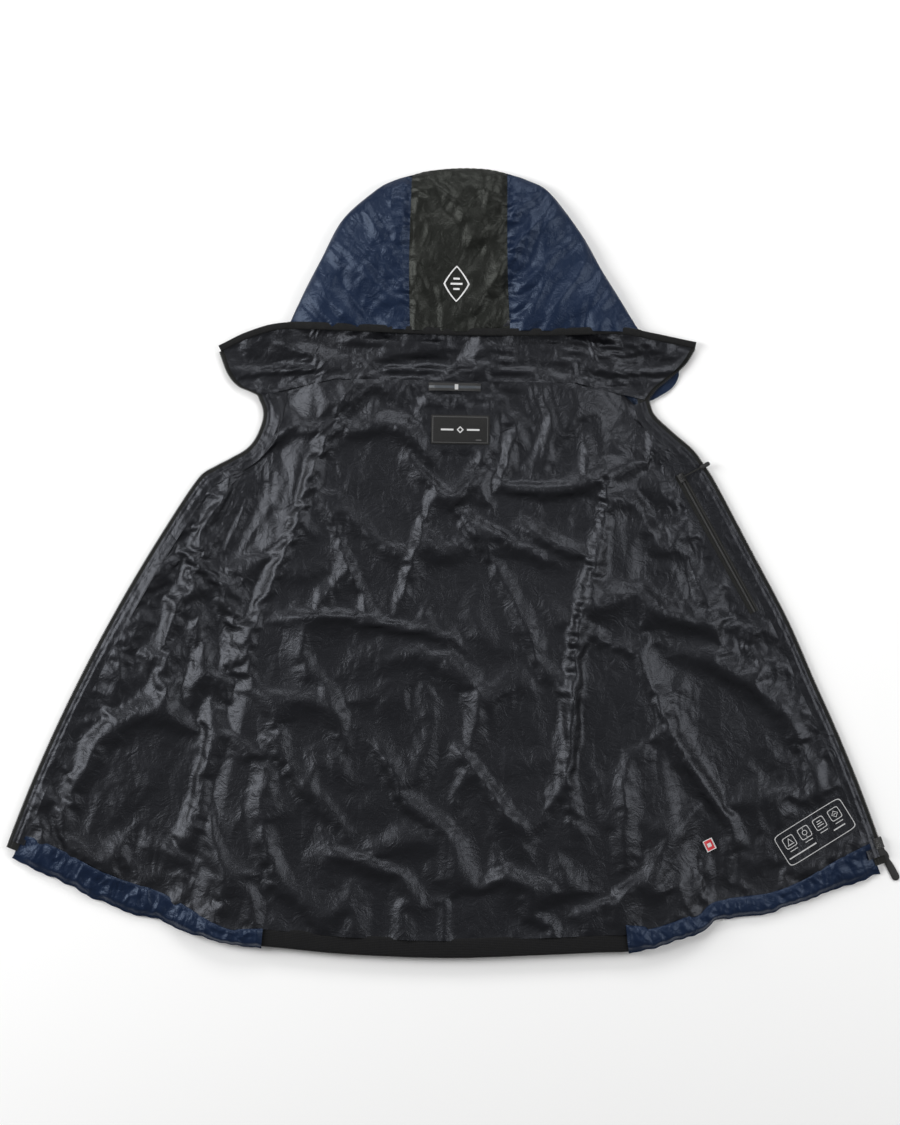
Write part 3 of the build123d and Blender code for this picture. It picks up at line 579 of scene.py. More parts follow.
LINING_SEAMS = [
    [(-0.222, -0.200), (-0.232, -0.300), (-0.228, -0.460)],
    [(-0.280, -0.060), (-0.278, -0.220), (-0.330, -0.418)],
    [(0.165, -0.085), (0.236, -0.180), (0.334, -0.420)],
    [(0.196, -0.255), (0.203, -0.340), (0.205, -0.450)],
]


POCKET_TOP = np.array([0.2870, 0.1140])
CARE_TURN = math.radians(32.9)


def calm_spots(x, y):
    """Share of stillness, from 0 to 1, where a label, a loop, a zip or a print keeps the lining flat."""
    label_low, label_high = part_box("neck_label")
    loop_low, loop_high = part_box("hanger_loop")
    care_low, care_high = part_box("care_panel")
    pocket_down = np.array(next(j for j in frame["joints"] if j["name"] == "pocket_slider_run")["axis"][:2])
    off_x = np.abs(x - 0.5 * (label_low[0] + label_high[0])) - 0.037
    off_y = np.abs(y - 0.5 * (label_low[1] + label_high[1])) - 0.019
    label = 1 - smooth_step(np.maximum(off_x, off_y) / 0.018)
    off_y = np.abs(y - 0.5 * (loop_low[1] + loop_high[1])) - 0.005
    loop = 1 - smooth_step(np.maximum(np.abs(x) - 0.033, off_y) / 0.015)
    rx, ry = x - POCKET_TOP[0], y - POCKET_TOP[1]
    along = np.clip(rx * pocket_down[0] + ry * pocket_down[1], -0.01, 0.20)
    off = np.hypot(rx - along * pocket_down[0], ry - along * pocket_down[1])
    pocket = 1 - smooth_step((off - 0.008) / 0.018)
    rx, ry = x - 0.5 * (care_low[0] + care_high[0]), y - 0.5 * (care_low[1] + care_high[1])
    cos, sin = math.cos(CARE_TURN), math.sin(CARE_TURN)
    cx, cy = rx * cos + ry * sin, ry * cos - rx * sin
    care = 1 - smooth_step(np.maximum(np.abs(cx) - 0.050, np.abs(cy) - 0.022) / 0.02)
    return np.maximum(np.maximum(label, loop), np.maximum(pocket, care)), pocket


SHELL_LOW = 0.0012           # height of the shell's outer face in the fronts
BACK_UNDER = 0.0126          # and under the back, over the sleeves


def under_height(x, y):
    """Height of the outer shell below the lining: raised by the sleeves under the back, low in the fronts."""
    return BACK_UNDER + (SHELL_LOW - BACK_UNDER) * smooth_step((beyond_fold(x, y) - 0.02) / 0.034)


def lining_height(x, y):
    """Resting height of the lining: level over the back, easing down past the fold lines to the fronts, with
    its long folds, crushed creases and sewn seams."""
    out = beyond_fold(x, y)
    base = BACK_TOP + (FRONT_TOP - BACK_TOP) * smooth_step((out + 0.004) / (SIDE_WIDTH + 0.028))
    base = base + (COLLAR_TOP - BACK_TOP) * smooth_step((y - NECK_Y + 0.012) / 0.03) * (out < 0.02)
    fan = np.arctan2(x, 0.75 - y)
    around, down = fan * 0.75, np.hypot(x, 0.75 - y)
    long_folds = 0.0030 * crumple(around, down, 0.085, 11, run=97, stretch=3.0, octaves=2)
    slanting = 0.0026 * crumple(x, y, 0.100, 23, run=128, stretch=2.0, octaves=2)
    share = smooth_step(0.5 + 1.4 * noise(x / 0.16, y / 0.16, 5))
    height = base + share * long_folds + (1 - share) * slanting + creases(x, y)
    for k, seam in enumerate(LINING_SEAMS):
        height = height + seam_pucker(x, y, seam, 0.007, 0.016, 0.0016, 60 + k)
    calm, pocket = calm_spots(x, y)
    height = base + (height - base) * (1 - 0.9 * calm) - 0.0010 * pocket
    return np.maximum(height, base - 0.004)


def blended_row(points_list, counts):
    """Straight runs between given points, each split into its own number of steps."""
    parts = [np.linspace(a, b, n, endpoint=False) for a, b, n in zip(points_list, points_list[1:], counts)]
    return np.concatenate(parts + [points_list[-1][None]])


def at_shares(line, shares):
    """The points of a line at the given shares of its count of points."""
    return np.column_stack([np.interp(shares, np.linspace(0, 1, len(line)), line[:, k]) for k in (0, 1)])


up_share = np.linspace(0, 1, ROWS + 1)
hem_start = {}               # share of each front's edge that the hem's turn-up takes
edge_rows = {}
for side in (1, -1):
    whole = front_edge(side, EDGE_IN + FACING_W, 900)
    hem_start[side] = np.argmax(whole[:, 1] > hem_y(whole[:, 0]) + TURNUP) / 900
    share = hem_start[side] + (1 - hem_start[side]) * up_share
    edge_rows[side] = at_shares(whole, share)


def line_rows(side, out):
    """The line at a distance outward of a fold line, from the hem's turn-up up to the neck seam."""
    low_x = side * fold_x(-0.43, out)
    low = hem_y(low_x) + TURNUP
    high = NECK_Y - 0.17 * out if out >= 0 else NECK_Y
    y = low + (high - low) * up_share
    return np.column_stack([side * fold_x(y, out), y])


stations = [edge_rows[-1], line_rows(-1, SIDE_WIDTH), line_rows(-1, 0),
            line_rows(1, 0), line_rows(1, SIDE_WIDTH), edge_rows[1]]
counts = [COLUMNS_FRONT, COLUMNS_SIDE, COLUMNS_BACK, COLUMNS_SIDE, COLUMNS_FRONT]
plan = np.stack([blended_row([s[i] for s in stations], counts) for i in range(ROWS + 1)])
bottom_x = plan[0, :, 0]
beyond_band = smooth_step((np.abs(bottom_x) - BAND_HALF + 0.004) / 0.008)
bottom = (hem_y(bottom_x) + BAND_DEPTH) * (1 - beyond_band) + (turnup_y(bottom_x) - 0.005) * beyond_band
plan[..., 1] += ((1 - up_share[:, None]) ** 3) * (bottom - plan[0, :, 1])
lining = np.dstack([plan, lining_height(plan[..., 0], plan[..., 1])])

# the lining is held by its outer seams and by what is sewn on it
held = np.zeros(lining.shape[:2], bool)
held[:, [0, -1]] = True
held[[0, -1], :] = True
held |= calm_spots(plan[..., 0], plan[..., 1])[0] > 0.6
lining = settle(lining, held, 0.017, 0.006, bending=8.0)
lining = finer(lining, 3)
x, y = lining[..., 0], lining[..., 1]
crushed = smooth_step(0.45 + 1.5 * noise(x / 0.09, y / 0.09, 8))
crushed = crushed * (1 - calm_spots(x, y)[0])
lining[..., 2] += 0.0006 * crushed * crumple(x, y, 0.020, 31, run=100, stretch=1.8, octaves=2)
floor = under_height(x, y) + 0.0036
lining[..., 2] = floor + 0.0012 * np.logaddexp(0, (lining[..., 2] - floor) / 0.0012)
CUTS = 3 * np.cumsum([0] + counts)
panels = {}
PANEL_NAMES = ["right_front", "right_side", "back", "left_side", "left_front"]
for name, first, last in zip(PANEL_NAMES, CUTS, CUTS[1:]):
    points = lining[:, first:last + 1]
    panels[name] = (cloth_piece(name + "_lining_cloth", points, lining_nylon), points)


def across_fold(piece, side, out=0.0, width=SIDE_WIDTH):
    """Bakes a piece's place into its mesh; the body and the turn about the fold line are worked out but not
    used, so the piece does not turn with its front.
    """
    body = "left_front" if side > 0 else "right_front"
    start = np.array([side * fold_x(0, out), 0, BACK_TOP])
    reach = width * np.array([side * math.cos(LEAN), math.sin(LEAN), 0])
    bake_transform(piece)


SIDES = {1: "left", -1: "right"}
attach(panels["back"][0], "root")
say_sheet(*panels["back"], "laid", "back_lining", slot="lining")
for side, word in SIDES.items():
    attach(panels[word + "_front"][0], word + "_front")
    say_sheet(*panels[word + "_front"], "laid", word + "_front_lining", slot="lining")
    across_fold(panels[word + "_side"][0], side)
    say_sheet(*panels[word + "_side"], "laid", word + "_side_lining", slot="lining")

# ---- wadding: a thin sheet of insulation behind the lining of the back and of each front ----
# It is soft white fibre with a slight loft, held in by the shell and the lining, so it shows nowhere.
WADDING = 0.0016
wadding_fibre = Finish("wadding_fibre", Roughness=0.95)
lumps = wadding_fibre.specks(180.0, 5.0)
wadding_fibre.feed(Base_Color=wadding_fibre.mixed(lumps, (0.62, 0.62, 0.60, 1.0), (0.82, 0.82, 0.80, 1.0)),
                   Normal=wadding_fibre.bump(0.5, 0.001, lumps))
for name, body in (("back", "root"), ("left_front", "left_front"), ("right_front", "right_front")):
    points = panels[name][1]
    low = points[..., 2].copy()
    for reach in (1, 2, 3):
        for axis in (0, 1):
            low = np.minimum(low, np.minimum(np.roll(low, reach, axis), np.roll(low, -reach, axis)))
    low = np.maximum(low - 0.0010, under_height(points[..., 0], points[..., 1]) + 0.0031)
    points = np.dstack([points[..., :2], low])[6:-6:4, 6:-6:4]
    wadding = cloth_piece(name + "_wadding_sheet", points, wadding_fibre, thickness=WADDING)
    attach(wadding, body)
    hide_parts(name + "_wadding")

# ---- outer shell of the body: navy nylon under the back, the side panels and the fronts ----
# It lies face down on the table. Along the zip and the hem it turns up to meet the tape and the hem.
navy_nylon = nylon("navy_nylon", (0.0028, 0.0064, 0.0190), (0.0074, 0.0155, 0.0400), 0.31, 0.60, 0.36,
                   (0.62, 0.76, 1.0))
black_nylon = nylon("black_nylon", (0.0040, 0.0043, 0.0036), (0.0078, 0.0083, 0.0072), 0.36, 0.55, 0.28,
                    (0.95, 1.0, 0.93))
TAPE_Z = 0.0064              # height of the zip tape's middle
HAND_ZIP_LONG = 0.170


def under_plan(hem_inset, columns, left, right):
    """A grid between two lines of the body, running out to a small inset from the hem."""
    share = np.linspace(0, 1, columns + 1)[None, :, None]
    flat = left[:, None] * (1 - share) + right[:, None] * share
    low = hem_y(flat[0, :, 0]) + hem_inset
    flat[..., 1] += ((1 - up_share[:, None]) ** 3) * (low - flat[0, :, 1])
    return flat


def facing_down(points):
    """The same grid turned over, so that its outer face looks at the table."""
    return points[:, ::-1]


def hand_pocket_line(side, word):
    """Upper end and downward direction of a hand pocket's zip."""
    lows, highs = (np.array(c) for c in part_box(word + "_hand_pocket_zip"))
    slant = math.radians(20.5)
    down = np.array([side * math.sin(slant), -math.cos(slant)])
    return 0.5 * (lows + highs)[:2] - HAND_ZIP_LONG / 2 * down, down


def outer_edge_rows(side, inset):
    """Rows of points up a front's edge at an inset, one for each row of the body."""
    whole = front_edge(side, inset, 900)
    return at_shares(whole, up_share)


back_plan = under_plan(0.012, 70, line_rows(-1, 0), line_rows(1, 0))
bx, by = back_plan[..., 0], back_plan[..., 1]
back_points = np.dstack([back_plan, BACK_UNDER + 0.0008 * crumple(bx, by, 0.05, 91, stretch=1.8)])
back_points = facing_down(back_points)
back_shell = cloth_piece("back_shell_cloth", back_points, navy_nylon)
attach(back_shell, "root")
say_sheet(back_shell, back_points, "laid", "back_shell", slot="navy_shell")
for side, word in SIDES.items():
    lines = [line_rows(side, 0), line_rows(side, SIDE_WIDTH), outer_edge_rows(side, EDGE_IN - 0.002)]
    for part, near, far, columns in (("side", lines[0], lines[1], 14), ("front", lines[1], lines[2], 60)):
        flat = under_plan(0.004, columns, near, far)
        fx, fy = flat[..., 0], flat[..., 1]
        waves = np.clip(crumple(fx, fy, 0.05, 92 + side, stretch=1.8), -1, 0.6)
        low = under_height(fx, fy) + 0.0007 * (1 + waves)
        if part == "front":
            far_in = np.linspace(1, 0, columns + 1)[None, :] * np.linalg.norm(far - near, axis=1)[:, None]
            low = low + (TAPE_Z - 0.001 - low) * (1 - smooth_step(far_in / 0.016))
            top, down = hand_pocket_line(side, word)
            rx, ry = fx - top[0], fy - top[1]
            run = np.clip(rx * down[0] + ry * down[1], 0, HAND_ZIP_LONG)
            off = np.hypot(rx - run * down[0], ry - run * down[1])
            low = low + (0.0026 - low) * (1 - smooth_step((off - 0.008) / 0.010))
        low = low + (0.003 - SHELL_LOW) * (1 - smooth_step((fy - hem_y(fx)) / 0.02)) * (part == "front")
        points = np.dstack([flat, low])
        points = facing_down(points) if side > 0 else points
        shell = cloth_piece(f"{word}_{part}_shell_cloth", points, navy_nylon)
        if part == "side":
            across_fold(shell, side)
        else:
            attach(shell, word + "_front")
        say_sheet(shell, points, "laid", f"{word}_{part}_shell", slot="navy_shell")

# ---- zip facing, tape and teeth: along each front's edge and round its neck curve ----
# The facing is a strip of the lining cloth sewn to the tape with one row of stitches. The tape is woven,
# and its teeth are moulded on its outer edge one by one.
FACING_TOP = 0.0088          # height of the facing's upper face
TEETH_PITCH = 0.0024
TEETH_LONG = 0.0028
TEETH_THICK = 0.0030
TEETH_IN = 0.0018            # how far the teeth reach in over the tape
FACING_OUT = 0.0048          # from the zip's edge to the facing's outer fold


def strip_along(path, offsets, heights):
    """A strip carried along a path: each profile point stands off to the left of the path by its offset,
    at its height; heights may be one row or one row for each place on the path."""
    along = np.gradient(path[:, :2], axis=0)
    along /= np.linalg.norm(along, axis=1)[:, None]
    left = np.column_stack([-along[:, 1], along[:, 0]])
    flat = path[:, None, :2] + np.asarray(offsets)[None, :, None] * left[:, None]
    return np.dstack([flat, np.broadcast_to(heights, flat.shape[:2])])


def upward(points):
    """The grid with its columns in the order that makes its faces look up."""
    a, b = points[1, 0] - points[0, 0], points[0, 1] - points[0, 0]
    return points if b[0] * a[1] - b[1] * a[0] > 0 else points[:, ::-1]


def stitches(made, path_run, offset, at, width=0.0007, length=0.0030):
    """Share of a row of stitches: dashes along the cloth's length at one distance across it."""
    near = made.calc("ABSOLUTE", offset - at) < width / 2
    dash = made.calc("FRACT", path_run * (1 / length)) < 0.72
    return near * dash


def woven_tape(name, dark, light, pitch, rib=0.35, roughness=0.75, seams=()):
    """Woven tape or knitted rib: raised ribs along the cloth's length crossed by finer ones, with painted
    light that makes the rib tops paler and painted shade that darkens the grooves, flecked by lint, and rows
    of stitches where the piece is sewn."""
    made = Finish(name, Roughness=roughness, Sheen_Weight=0.03, Specular_IOR_Level=0.25)
    across, up = cloth_axes(made)
    ribs = made.calc("SINE", across * (2 * math.pi / pitch)) * 0.5 + 0.5
    bars = made.calc("SINE", up * (2 * math.pi / (1.3 * pitch)) + ribs * 2.0) * 0.5 + 0.5
    lint = made.specks(260.0, 4.0)
    # painted light and shade: the colour follows the rib height, paler on the raised tops and darker in the
    # grooves, flecked at random by lint
    top = made.calc("MULTIPLY", ribs * 0.6 + bars * 0.4, lint * 1.3, clamp=True)
    colour = made.mixed(top, (*dark, 1.0), (*light, 1.0))
    height = ribs + bars * 0.5
    for at in seams:
        row = stitches(made, up, across, at)
        colour = made.mixed(row, colour, grey(light[0] * 2.4))
        height = height + row * 1.5
    made.feed(Base_Color=colour, Roughness=roughness - 0.12 * top,
              Normal=made.bump(rib, 0.0004, height))
    return made


tape_weave = woven_tape("tape_weave", (0.0040, 0.0042, 0.0036), (0.0140, 0.0144, 0.0128), 0.0011,
                        seams=(0.0018, 0.0058))

def speckled(name, scale, detail, dark, light, roughness, more_rough, raised, height, **constants):
    """A plain moulded or printed surface: fine specks turn its colour from dark to light, roughen it and
    raise it a little."""
    made = Finish(name, **constants)
    specks = made.specks(scale, detail)
    made.feed(Base_Color=made.mixed(specks, grey(dark), grey(light)),
              Roughness=roughness + more_rough * specks, Normal=made.bump(raised, height, specks))
    return made


tooth_plastic = speckled("tooth_plastic", 420.0, 3.0, 0.006, 0.026, 0.30, 0.25, 0.12, 0.0003,
                         Specular_IOR_Level=0.45)


def tooth_block():
    """One tooth: a block with a rounded nose and a narrow waist, as corner points and four-sided faces.
    x runs outward from the tape, y along the zip."""
    outline = np.array([(0, -0.5), (0.45, -0.30), (0.75, -0.5), (1, -0.25), (1, 0.25), (0.75, 0.5),
                        (0.45, 0.30), (0, 0.5)])
    count = len(outline)
    low = np.column_stack([outline * 0.96, np.full(count, -0.5)])
    high = np.column_stack([outline * 0.96, np.full(count, 0.5)])
    ring = np.arange(count)
    after = (ring + 1) % count
    walls = np.column_stack([ring, after, after + count, ring + count])
    caps = [[4, 3, 2, 5], [5, 2, 1, 6], [6, 1, 0, 7]]
    tops = [[count + k for k in reversed(cap)] for cap in caps]
    return np.vstack([low, high]), np.vstack([walls, caps, tops])


def teeth_row(name, path, side):
    """The tooth repeated along a path at the pitch, each turned with the path."""
    run = np.concatenate([[0], np.cumsum(np.linalg.norm(np.diff(path, axis=0), axis=1))])
    stops = np.arange(0.021, run[-1], TEETH_PITCH)
    spot = np.column_stack([np.interp(stops, run, path[:, k]) for k in (0, 1)])
    along = np.gradient(spot, axis=0)
    along /= np.linalg.norm(along, axis=1)[:, None]
    out = -side * np.column_stack([-along[:, 1], along[:, 0]])
    block, faces = tooth_block()
    scale = np.array([TEETH_LONG, TEETH_PITCH * 0.62, TEETH_THICK])
    local = block * scale - [TEETH_IN, 0, 0]
    flat = spot[:, None] + out[:, None] * local[None, :, :1] + along[:, None] * local[None, :, 1:2]
    points = np.dstack([flat, np.broadcast_to(TAPE_Z + local[:, 2], flat.shape[:2])])
    quads = (faces[None] + len(block) * np.arange(len(stops))[:, None, None]).reshape(-1, 4)
    if side < 0:
        quads = quads[:, ::-1]
    mesh = bpy.data.meshes.new(name)
    mesh.from_pydata(points.reshape(-1, 3), [], quads)
    mesh.materials.append(tooth_plastic.material)
    piece = bpy.data.objects.new(name, mesh)
    bpy.context.scene.collection.objects.link(piece)
    return piece


for side, word in SIDES.items():
    inner = panels[word + "_front"][1][:, -1 if side > 0 else 0]
    run_share = np.linspace(0, 1, 360)
    whole = front_edge(side, 0, 900)
    above = smooth_path(WING_EDGE[side], 200)
    outer = np.vstack([whole, above[1:]])[::12]
    outer = np.vstack([outer[0] + 0.010 * (outer[0] - outer[1]) / np.linalg.norm(outer[0] - outer[1]), outer])
    outer = smooth_path(outer, 520)
    facing_path = front_edge(side, FACING_OUT, 360)
    in_path = front_edge(side, EDGE_IN + FACING_W + 0.0012, 360)
    share = np.linspace(0, 1, 13)[None, :, None]
    flat = facing_path[:, None] * (1 - share) + in_path[:, None] * share
    inner_share = hem_start[side] + (1 - hem_start[side]) * np.linspace(0, 1, len(inner))
    rows_z = np.interp(run_share, inner_share, inner[:, 2])
    ripple = 0.0009 * noise(run_share[:, None] * 70, share[..., 0] * 1.5, 7 + side)
    z = FACING_TOP - 0.0010 * (1 - share[..., 0]) ** 2 + 0.0010 * np.sin(np.pi * share[..., 0]) ** 2
    z = z + ripple * np.sin(np.pi * share[..., 0]) - 0.0011 * np.exp(-((share[..., 0] - 0.30) / 0.06) ** 2)
    z = z + (rows_z[:, None] + 0.0002 - z) * share[..., 0] ** 2
    facing = upward(np.dstack([flat, z]))
    facing_piece = cloth_piece(word + "_zip_facing_strip", facing, lining_nylon, thickness=0.0010)
    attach(facing_piece, word + "_front")
    say_sheet(facing_piece, facing, "stretched", word + "_zip_facing", slot="lining")
    tape_offsets = side * np.linspace(0.0002, EDGE_IN + 0.0055, 9)
    tape_bow = TAPE_Z + 0.0005 + 0.0006 * np.sin(np.pi * np.linspace(0, 1, 9))
    tape = upward(strip_along(outer, tape_offsets, tape_bow))
    tape_piece = cloth_piece(word + "_zip_tape_strip", tape, tape_weave, thickness=0.0010)
    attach(tape_piece, word + "_front")
    say_sheet(tape_piece, tape, "stretched", word + "_zip_tape", slot="zip_tape")
    teeth = teeth_row(word + "_zip_teeth_row", outer, side)
    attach(teeth, word + "_front")
    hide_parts(word + "_zip_teeth")

# ---- collar: the lining runs up from the neck seam, under the hood's brim, and out to both collar tips ----
# It is gathered where it meets the brim, so it lies in flat level folds.
BRIM = [(-0.301, 0.263), (-0.262, 0.282), (-0.215, 0.2935), (-0.130, 0.2925), (0.0, 0.2895), (0.120, 0.2910),
        (0.205, 0.2945), (0.250, 0.2885), (0.308, 0.278)]
WING_COLUMNS, NECK_COLUMNS, COLLAR_ROWS = 18, 48, 16
COLLAR_LOW = 0.0035          # height of the collar's shell over the table
brim_line = smooth_path(BRIM, 500)


def brim_y(x):
    return np.interp(x, brim_line[:, 0], brim_line[:, 1])


def seam_row(side):
    """The wing's lower edge: from the fold line along the neck seam to the front's edge."""
    return np.array([side * fold_x(NECK_Y), NECK_Y]), np.array(WING_EDGE[side][0]) - [side * 0.006, 0]


left_fold, left_tip = seam_row(1)
right_fold, right_tip = seam_row(-1)
collar_counts = [WING_COLUMNS, NECK_COLUMNS, WING_COLUMNS]
low_row = blended_row([right_tip, right_fold, left_fold, left_tip], collar_counts)
tips = {side: np.array(WING_EDGE[side][-1]) - [side * 0.006, 0.004] for side in (1, -1)}
folds_top = {side: np.array([side * (fold_x(MOUTH_Y) + 0.004), MOUTH_Y]) for side in (1, -1)}
top_row = blended_row([tips[-1], folds_top[-1], folds_top[1], tips[1]], collar_counts)
top_row[:, 1] = brim_y(top_row[:, 0]) + 0.001 + 0.042 * smooth_step((0.190 - np.abs(top_row[:, 0])) / 0.03)
w = np.linspace(0, 1, COLLAR_ROWS + 1)
collar_plan = low_row[None] * (1 - w[:, None, None]) + top_row[None] * w[:, None, None]
for side, column in ((-1, 0), (1, -1)):
    edge = smooth_path(WING_EDGE[side], COLLAR_ROWS + 1) - [side * 0.006, 0]
    fade = np.linspace(1, 0, WING_COLUMNS + 1)[None, :, None] ** 1.5
    shift = (edge - collar_plan[:, column])[:, None] * fade
    if side < 0:
        collar_plan[:, :WING_COLUMNS + 1] += shift
    else:
        collar_plan[:, -WING_COLUMNS - 1:] += shift[:, ::-1]


def wing_z(x):
    """Height of each wing's upper edge, which climbs from its tip to the hood's brim."""
    return 0.0092 + 0.0118 * smooth_step((0.300 - np.abs(x)) / 0.085)


def collar_height(x, y):
    """Level folds across the collar, easing down to the tips, with short gathers below the brim."""
    out = beyond_fold(x, y)
    base = COLLAR_TOP + (0.0085 - COLLAR_TOP) * smooth_step((out - 0.02) / 0.08)
    rise = smooth_step((y - NECK_Y + 0.004) / 0.014)
    seam = BACK_TOP + (FRONT_TOP - BACK_TOP) * smooth_step((out + 0.004) / (SIDE_WIDTH + 0.028))
    base = base + (seam + 0.0004 - base) * (1 - rise)
    near = smooth_step(1 - (brim_y(x) - y) / 0.030) * smooth_step((np.abs(x) - 0.185) / 0.03)
    base = base + (wing_z(x) - 0.0012 - base) * near
    drift = 0.010 * noise(x / 0.11, y / 0.11, 3)
    level = 0.0046 * crumple(x, y + drift, 0.034, 41, run=3, stretch=5.5, octaves=1)
    gathers = 0.0010 * noise(x / 0.009, y / 0.05, 44) * np.exp(-np.abs(brim_y(x) - y) / 0.022)
    top = base + (rise * level + gathers) * (1 - 0.8 * near)
    return np.clip(top, base - 0.0035, base + 0.0045)


collar = np.dstack([collar_plan, collar_height(collar_plan[..., 0], collar_plan[..., 1])])
held = np.zeros(collar.shape[:2], bool)
held[:, [0, -1]] = True
held[[0, -1], :] = True
collar = finer(settle(collar, held, 0.012, 0.004, frames=16, bending=10.0, cap=0.004), 3)
cx, cy = collar[..., 0], collar[..., 1]
collar[..., 2] += 0.0004 * crumple(cx, cy, 0.014, 47, run=20, stretch=1.8, octaves=2)
CUTS = 3 * np.cumsum([0] + collar_counts)
collar_parts = {}
for name, first, last in zip(["right_collar", "back_collar", "left_collar"], CUTS, CUTS[1:]):
    points = collar[:, first:last + 1]
    collar_parts[name] = (cloth_piece(name + "_lining_cloth", points, lining_nylon), points)
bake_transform(collar_parts["back_collar"][0])
say_sheet(*collar_parts["back_collar"], "gathered", "back_collar_lining", slot="lining")
for side, word in SIDES.items():
    across_fold(collar_parts[word + "_collar"][0], side)
    say_sheet(*collar_parts[word + "_collar"], "gathered", word + "_collar_lining", slot="lining")
for name, (piece, points) in list(collar_parts.items()):
    low = points[::3, ::3].copy()
    if name == "left_collar":
        peek = np.sin(np.pi * np.clip(w / 0.62, 0, 1)) ** 0.7 * 0.014
        reach = np.linspace(0, 1, WING_COLUMNS + 1)[None, :] ** 2 * (peek + 0.004)[:, None]
        low[..., 0] += 0.80 * reach
        low[..., 1] -= 0.45 * reach
    low = facing_down(low)
    out = beyond_fold(low[..., 0], low[..., 1])
    waves = crumple(low[..., 0], low[..., 1], 0.03, 49)
    low[..., 2] = COLLAR_LOW + 0.0010 * smooth_step(-out / 0.02) + 0.0006 * waves
    shell = cloth_piece(name + "_shell_cloth", low, navy_nylon)
    if name == "back_collar":
        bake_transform(shell)
    else:
        across_fold(shell, 1 if name.startswith("left") else -1)
    say_sheet(shell, low, "laid", name + "_shell", slot="navy_shell")

# ---- hood: a bag of three padded nylon panels with a lining, lying flat with its mouth to the body ----
# The wearer's left and right panels are navy and wrap round the sides; the centre one is black and wraps
# over the crown. The seams between them are pulled in and gathered.
HOOD_LEFT_SIDE = [(0.234, 0.2935), (0.206, 0.338), (0.184, 0.372), (0.158, 0.416), (0.117, 0.468),
                  (0.088, 0.484), (0.062, 0.492)]
HOOD_RIGHT_SIDE = [(-0.213, 0.2925), (-0.193, 0.338), (-0.172, 0.380), (-0.146, 0.430), (-0.106, 0.467),
                   (-0.084, 0.480), (-0.059, 0.488)]
HOOD_CROWN = [(-0.059, 0.488), (-0.035, 0.494), (0.000, 0.4975), (0.035, 0.497), (0.062, 0.492)]
HOOD_MIDDLE = 0.0135
HOOD_HIGH = 0.0325
HOOD_LOW = 0.0012
HOOD_ROUND = 0.050           # how far in from its sides the hood keeps rising
SEAM_LEFT = [(0.069, 0.292), (0.064, 0.380), (0.062, 0.492)]
SEAM_RIGHT = [(-0.058, 0.291), (-0.0605, 0.380), (-0.059, 0.488)]
HOOD_ROWS = 110
hood_side = {1: smooth_path(HOOD_LEFT_SIDE, HOOD_ROWS), -1: smooth_path(HOOD_RIGHT_SIDE, HOOD_ROWS)}
hood_seam = {1: smooth_path(SEAM_LEFT, HOOD_ROWS), -1: smooth_path(SEAM_RIGHT, HOOD_ROWS)}
hood_rim = np.vstack([hood_side[-1], smooth_path(HOOD_CROWN, 40), hood_side[1][::-1]])
hood_rim[:, 1] = np.where(hood_rim[:, 1] < 0.30, hood_rim[:, 1] - 0.006, hood_rim[:, 1])


def distance_to(x, y, line):
    return np.sqrt(((x[..., None] - line[:, 0]) ** 2 + (y[..., None] - line[:, 1]) ** 2).min(axis=-1))


def hood_height(x, y, upper):
    """The hood's upper or under face: a quarter ellipse up from its rim, then nearly level, with slanting
    folds, and at each panel seam a groove with gathers that fan out from it."""
    rim = np.clip(distance_to(x, y, hood_rim) / (HOOD_ROUND if upper else 0.022), 0, 1)
    swell = np.sqrt(np.maximum(1 - (1 - rim) ** 2, 0))
    if not upper:
        return HOOD_MIDDLE + (HOOD_LOW - HOOD_MIDDLE) * swell + 0.0009 * swell * (1 + crumple(x, y, 0.05, 63))
    height = HOOD_MIDDLE + (HOOD_HIGH - 0.0035 - HOOD_MIDDLE) * swell
    to_left = smooth_step(0.5 + x / 0.06)
    slanted = to_left * crumple(x, y, 0.062, 71, run=52, stretch=2.8, octaves=2)
    slanted = slanted + (1 - to_left) * crumple(x, y, 0.062, 72, run=128, stretch=2.8, octaves=2)
    small = crumple(x, y, 0.030, 75, run=70, stretch=2.2, octaves=2)
    height = height + swell * (0.0042 * slanted + 0.0010 * small)
    for seam, seed in ((hood_seam[1], 81), (hood_seam[-1], 82)):
        off = distance_to(x, y, seam)
        gathers = noise(y / 0.0085 + 0.6 * noise(x / 0.02, y / 0.02, 9), off / 0.05, seed)
        height = height + 0.0026 * gathers * np.exp(-off / 0.024) - 0.0036 * np.exp(-(off / 0.0055) ** 2)
    brim = np.exp(-np.abs(y - brim_y(x)) / 0.020)
    return height + 0.0016 * brim * noise(x / 0.010, y / 0.06, 84) - 0.0035 * brim


def hood_wrap(near, far, columns):
    """Plan of a panel that starts at its near line on top, runs out to its far line and back below, its
    points closer together towards the turn; and which of the columns are on top."""
    t = np.linspace(0, 1, columns + 1)
    share = np.sin(0.5 * np.pi * t)
    out = near[:, None] * (1 - share[None, :, None]) + far[:, None] * share[None, :, None]
    return np.concatenate([out, out[:, -2::-1]], axis=1), columns + 1


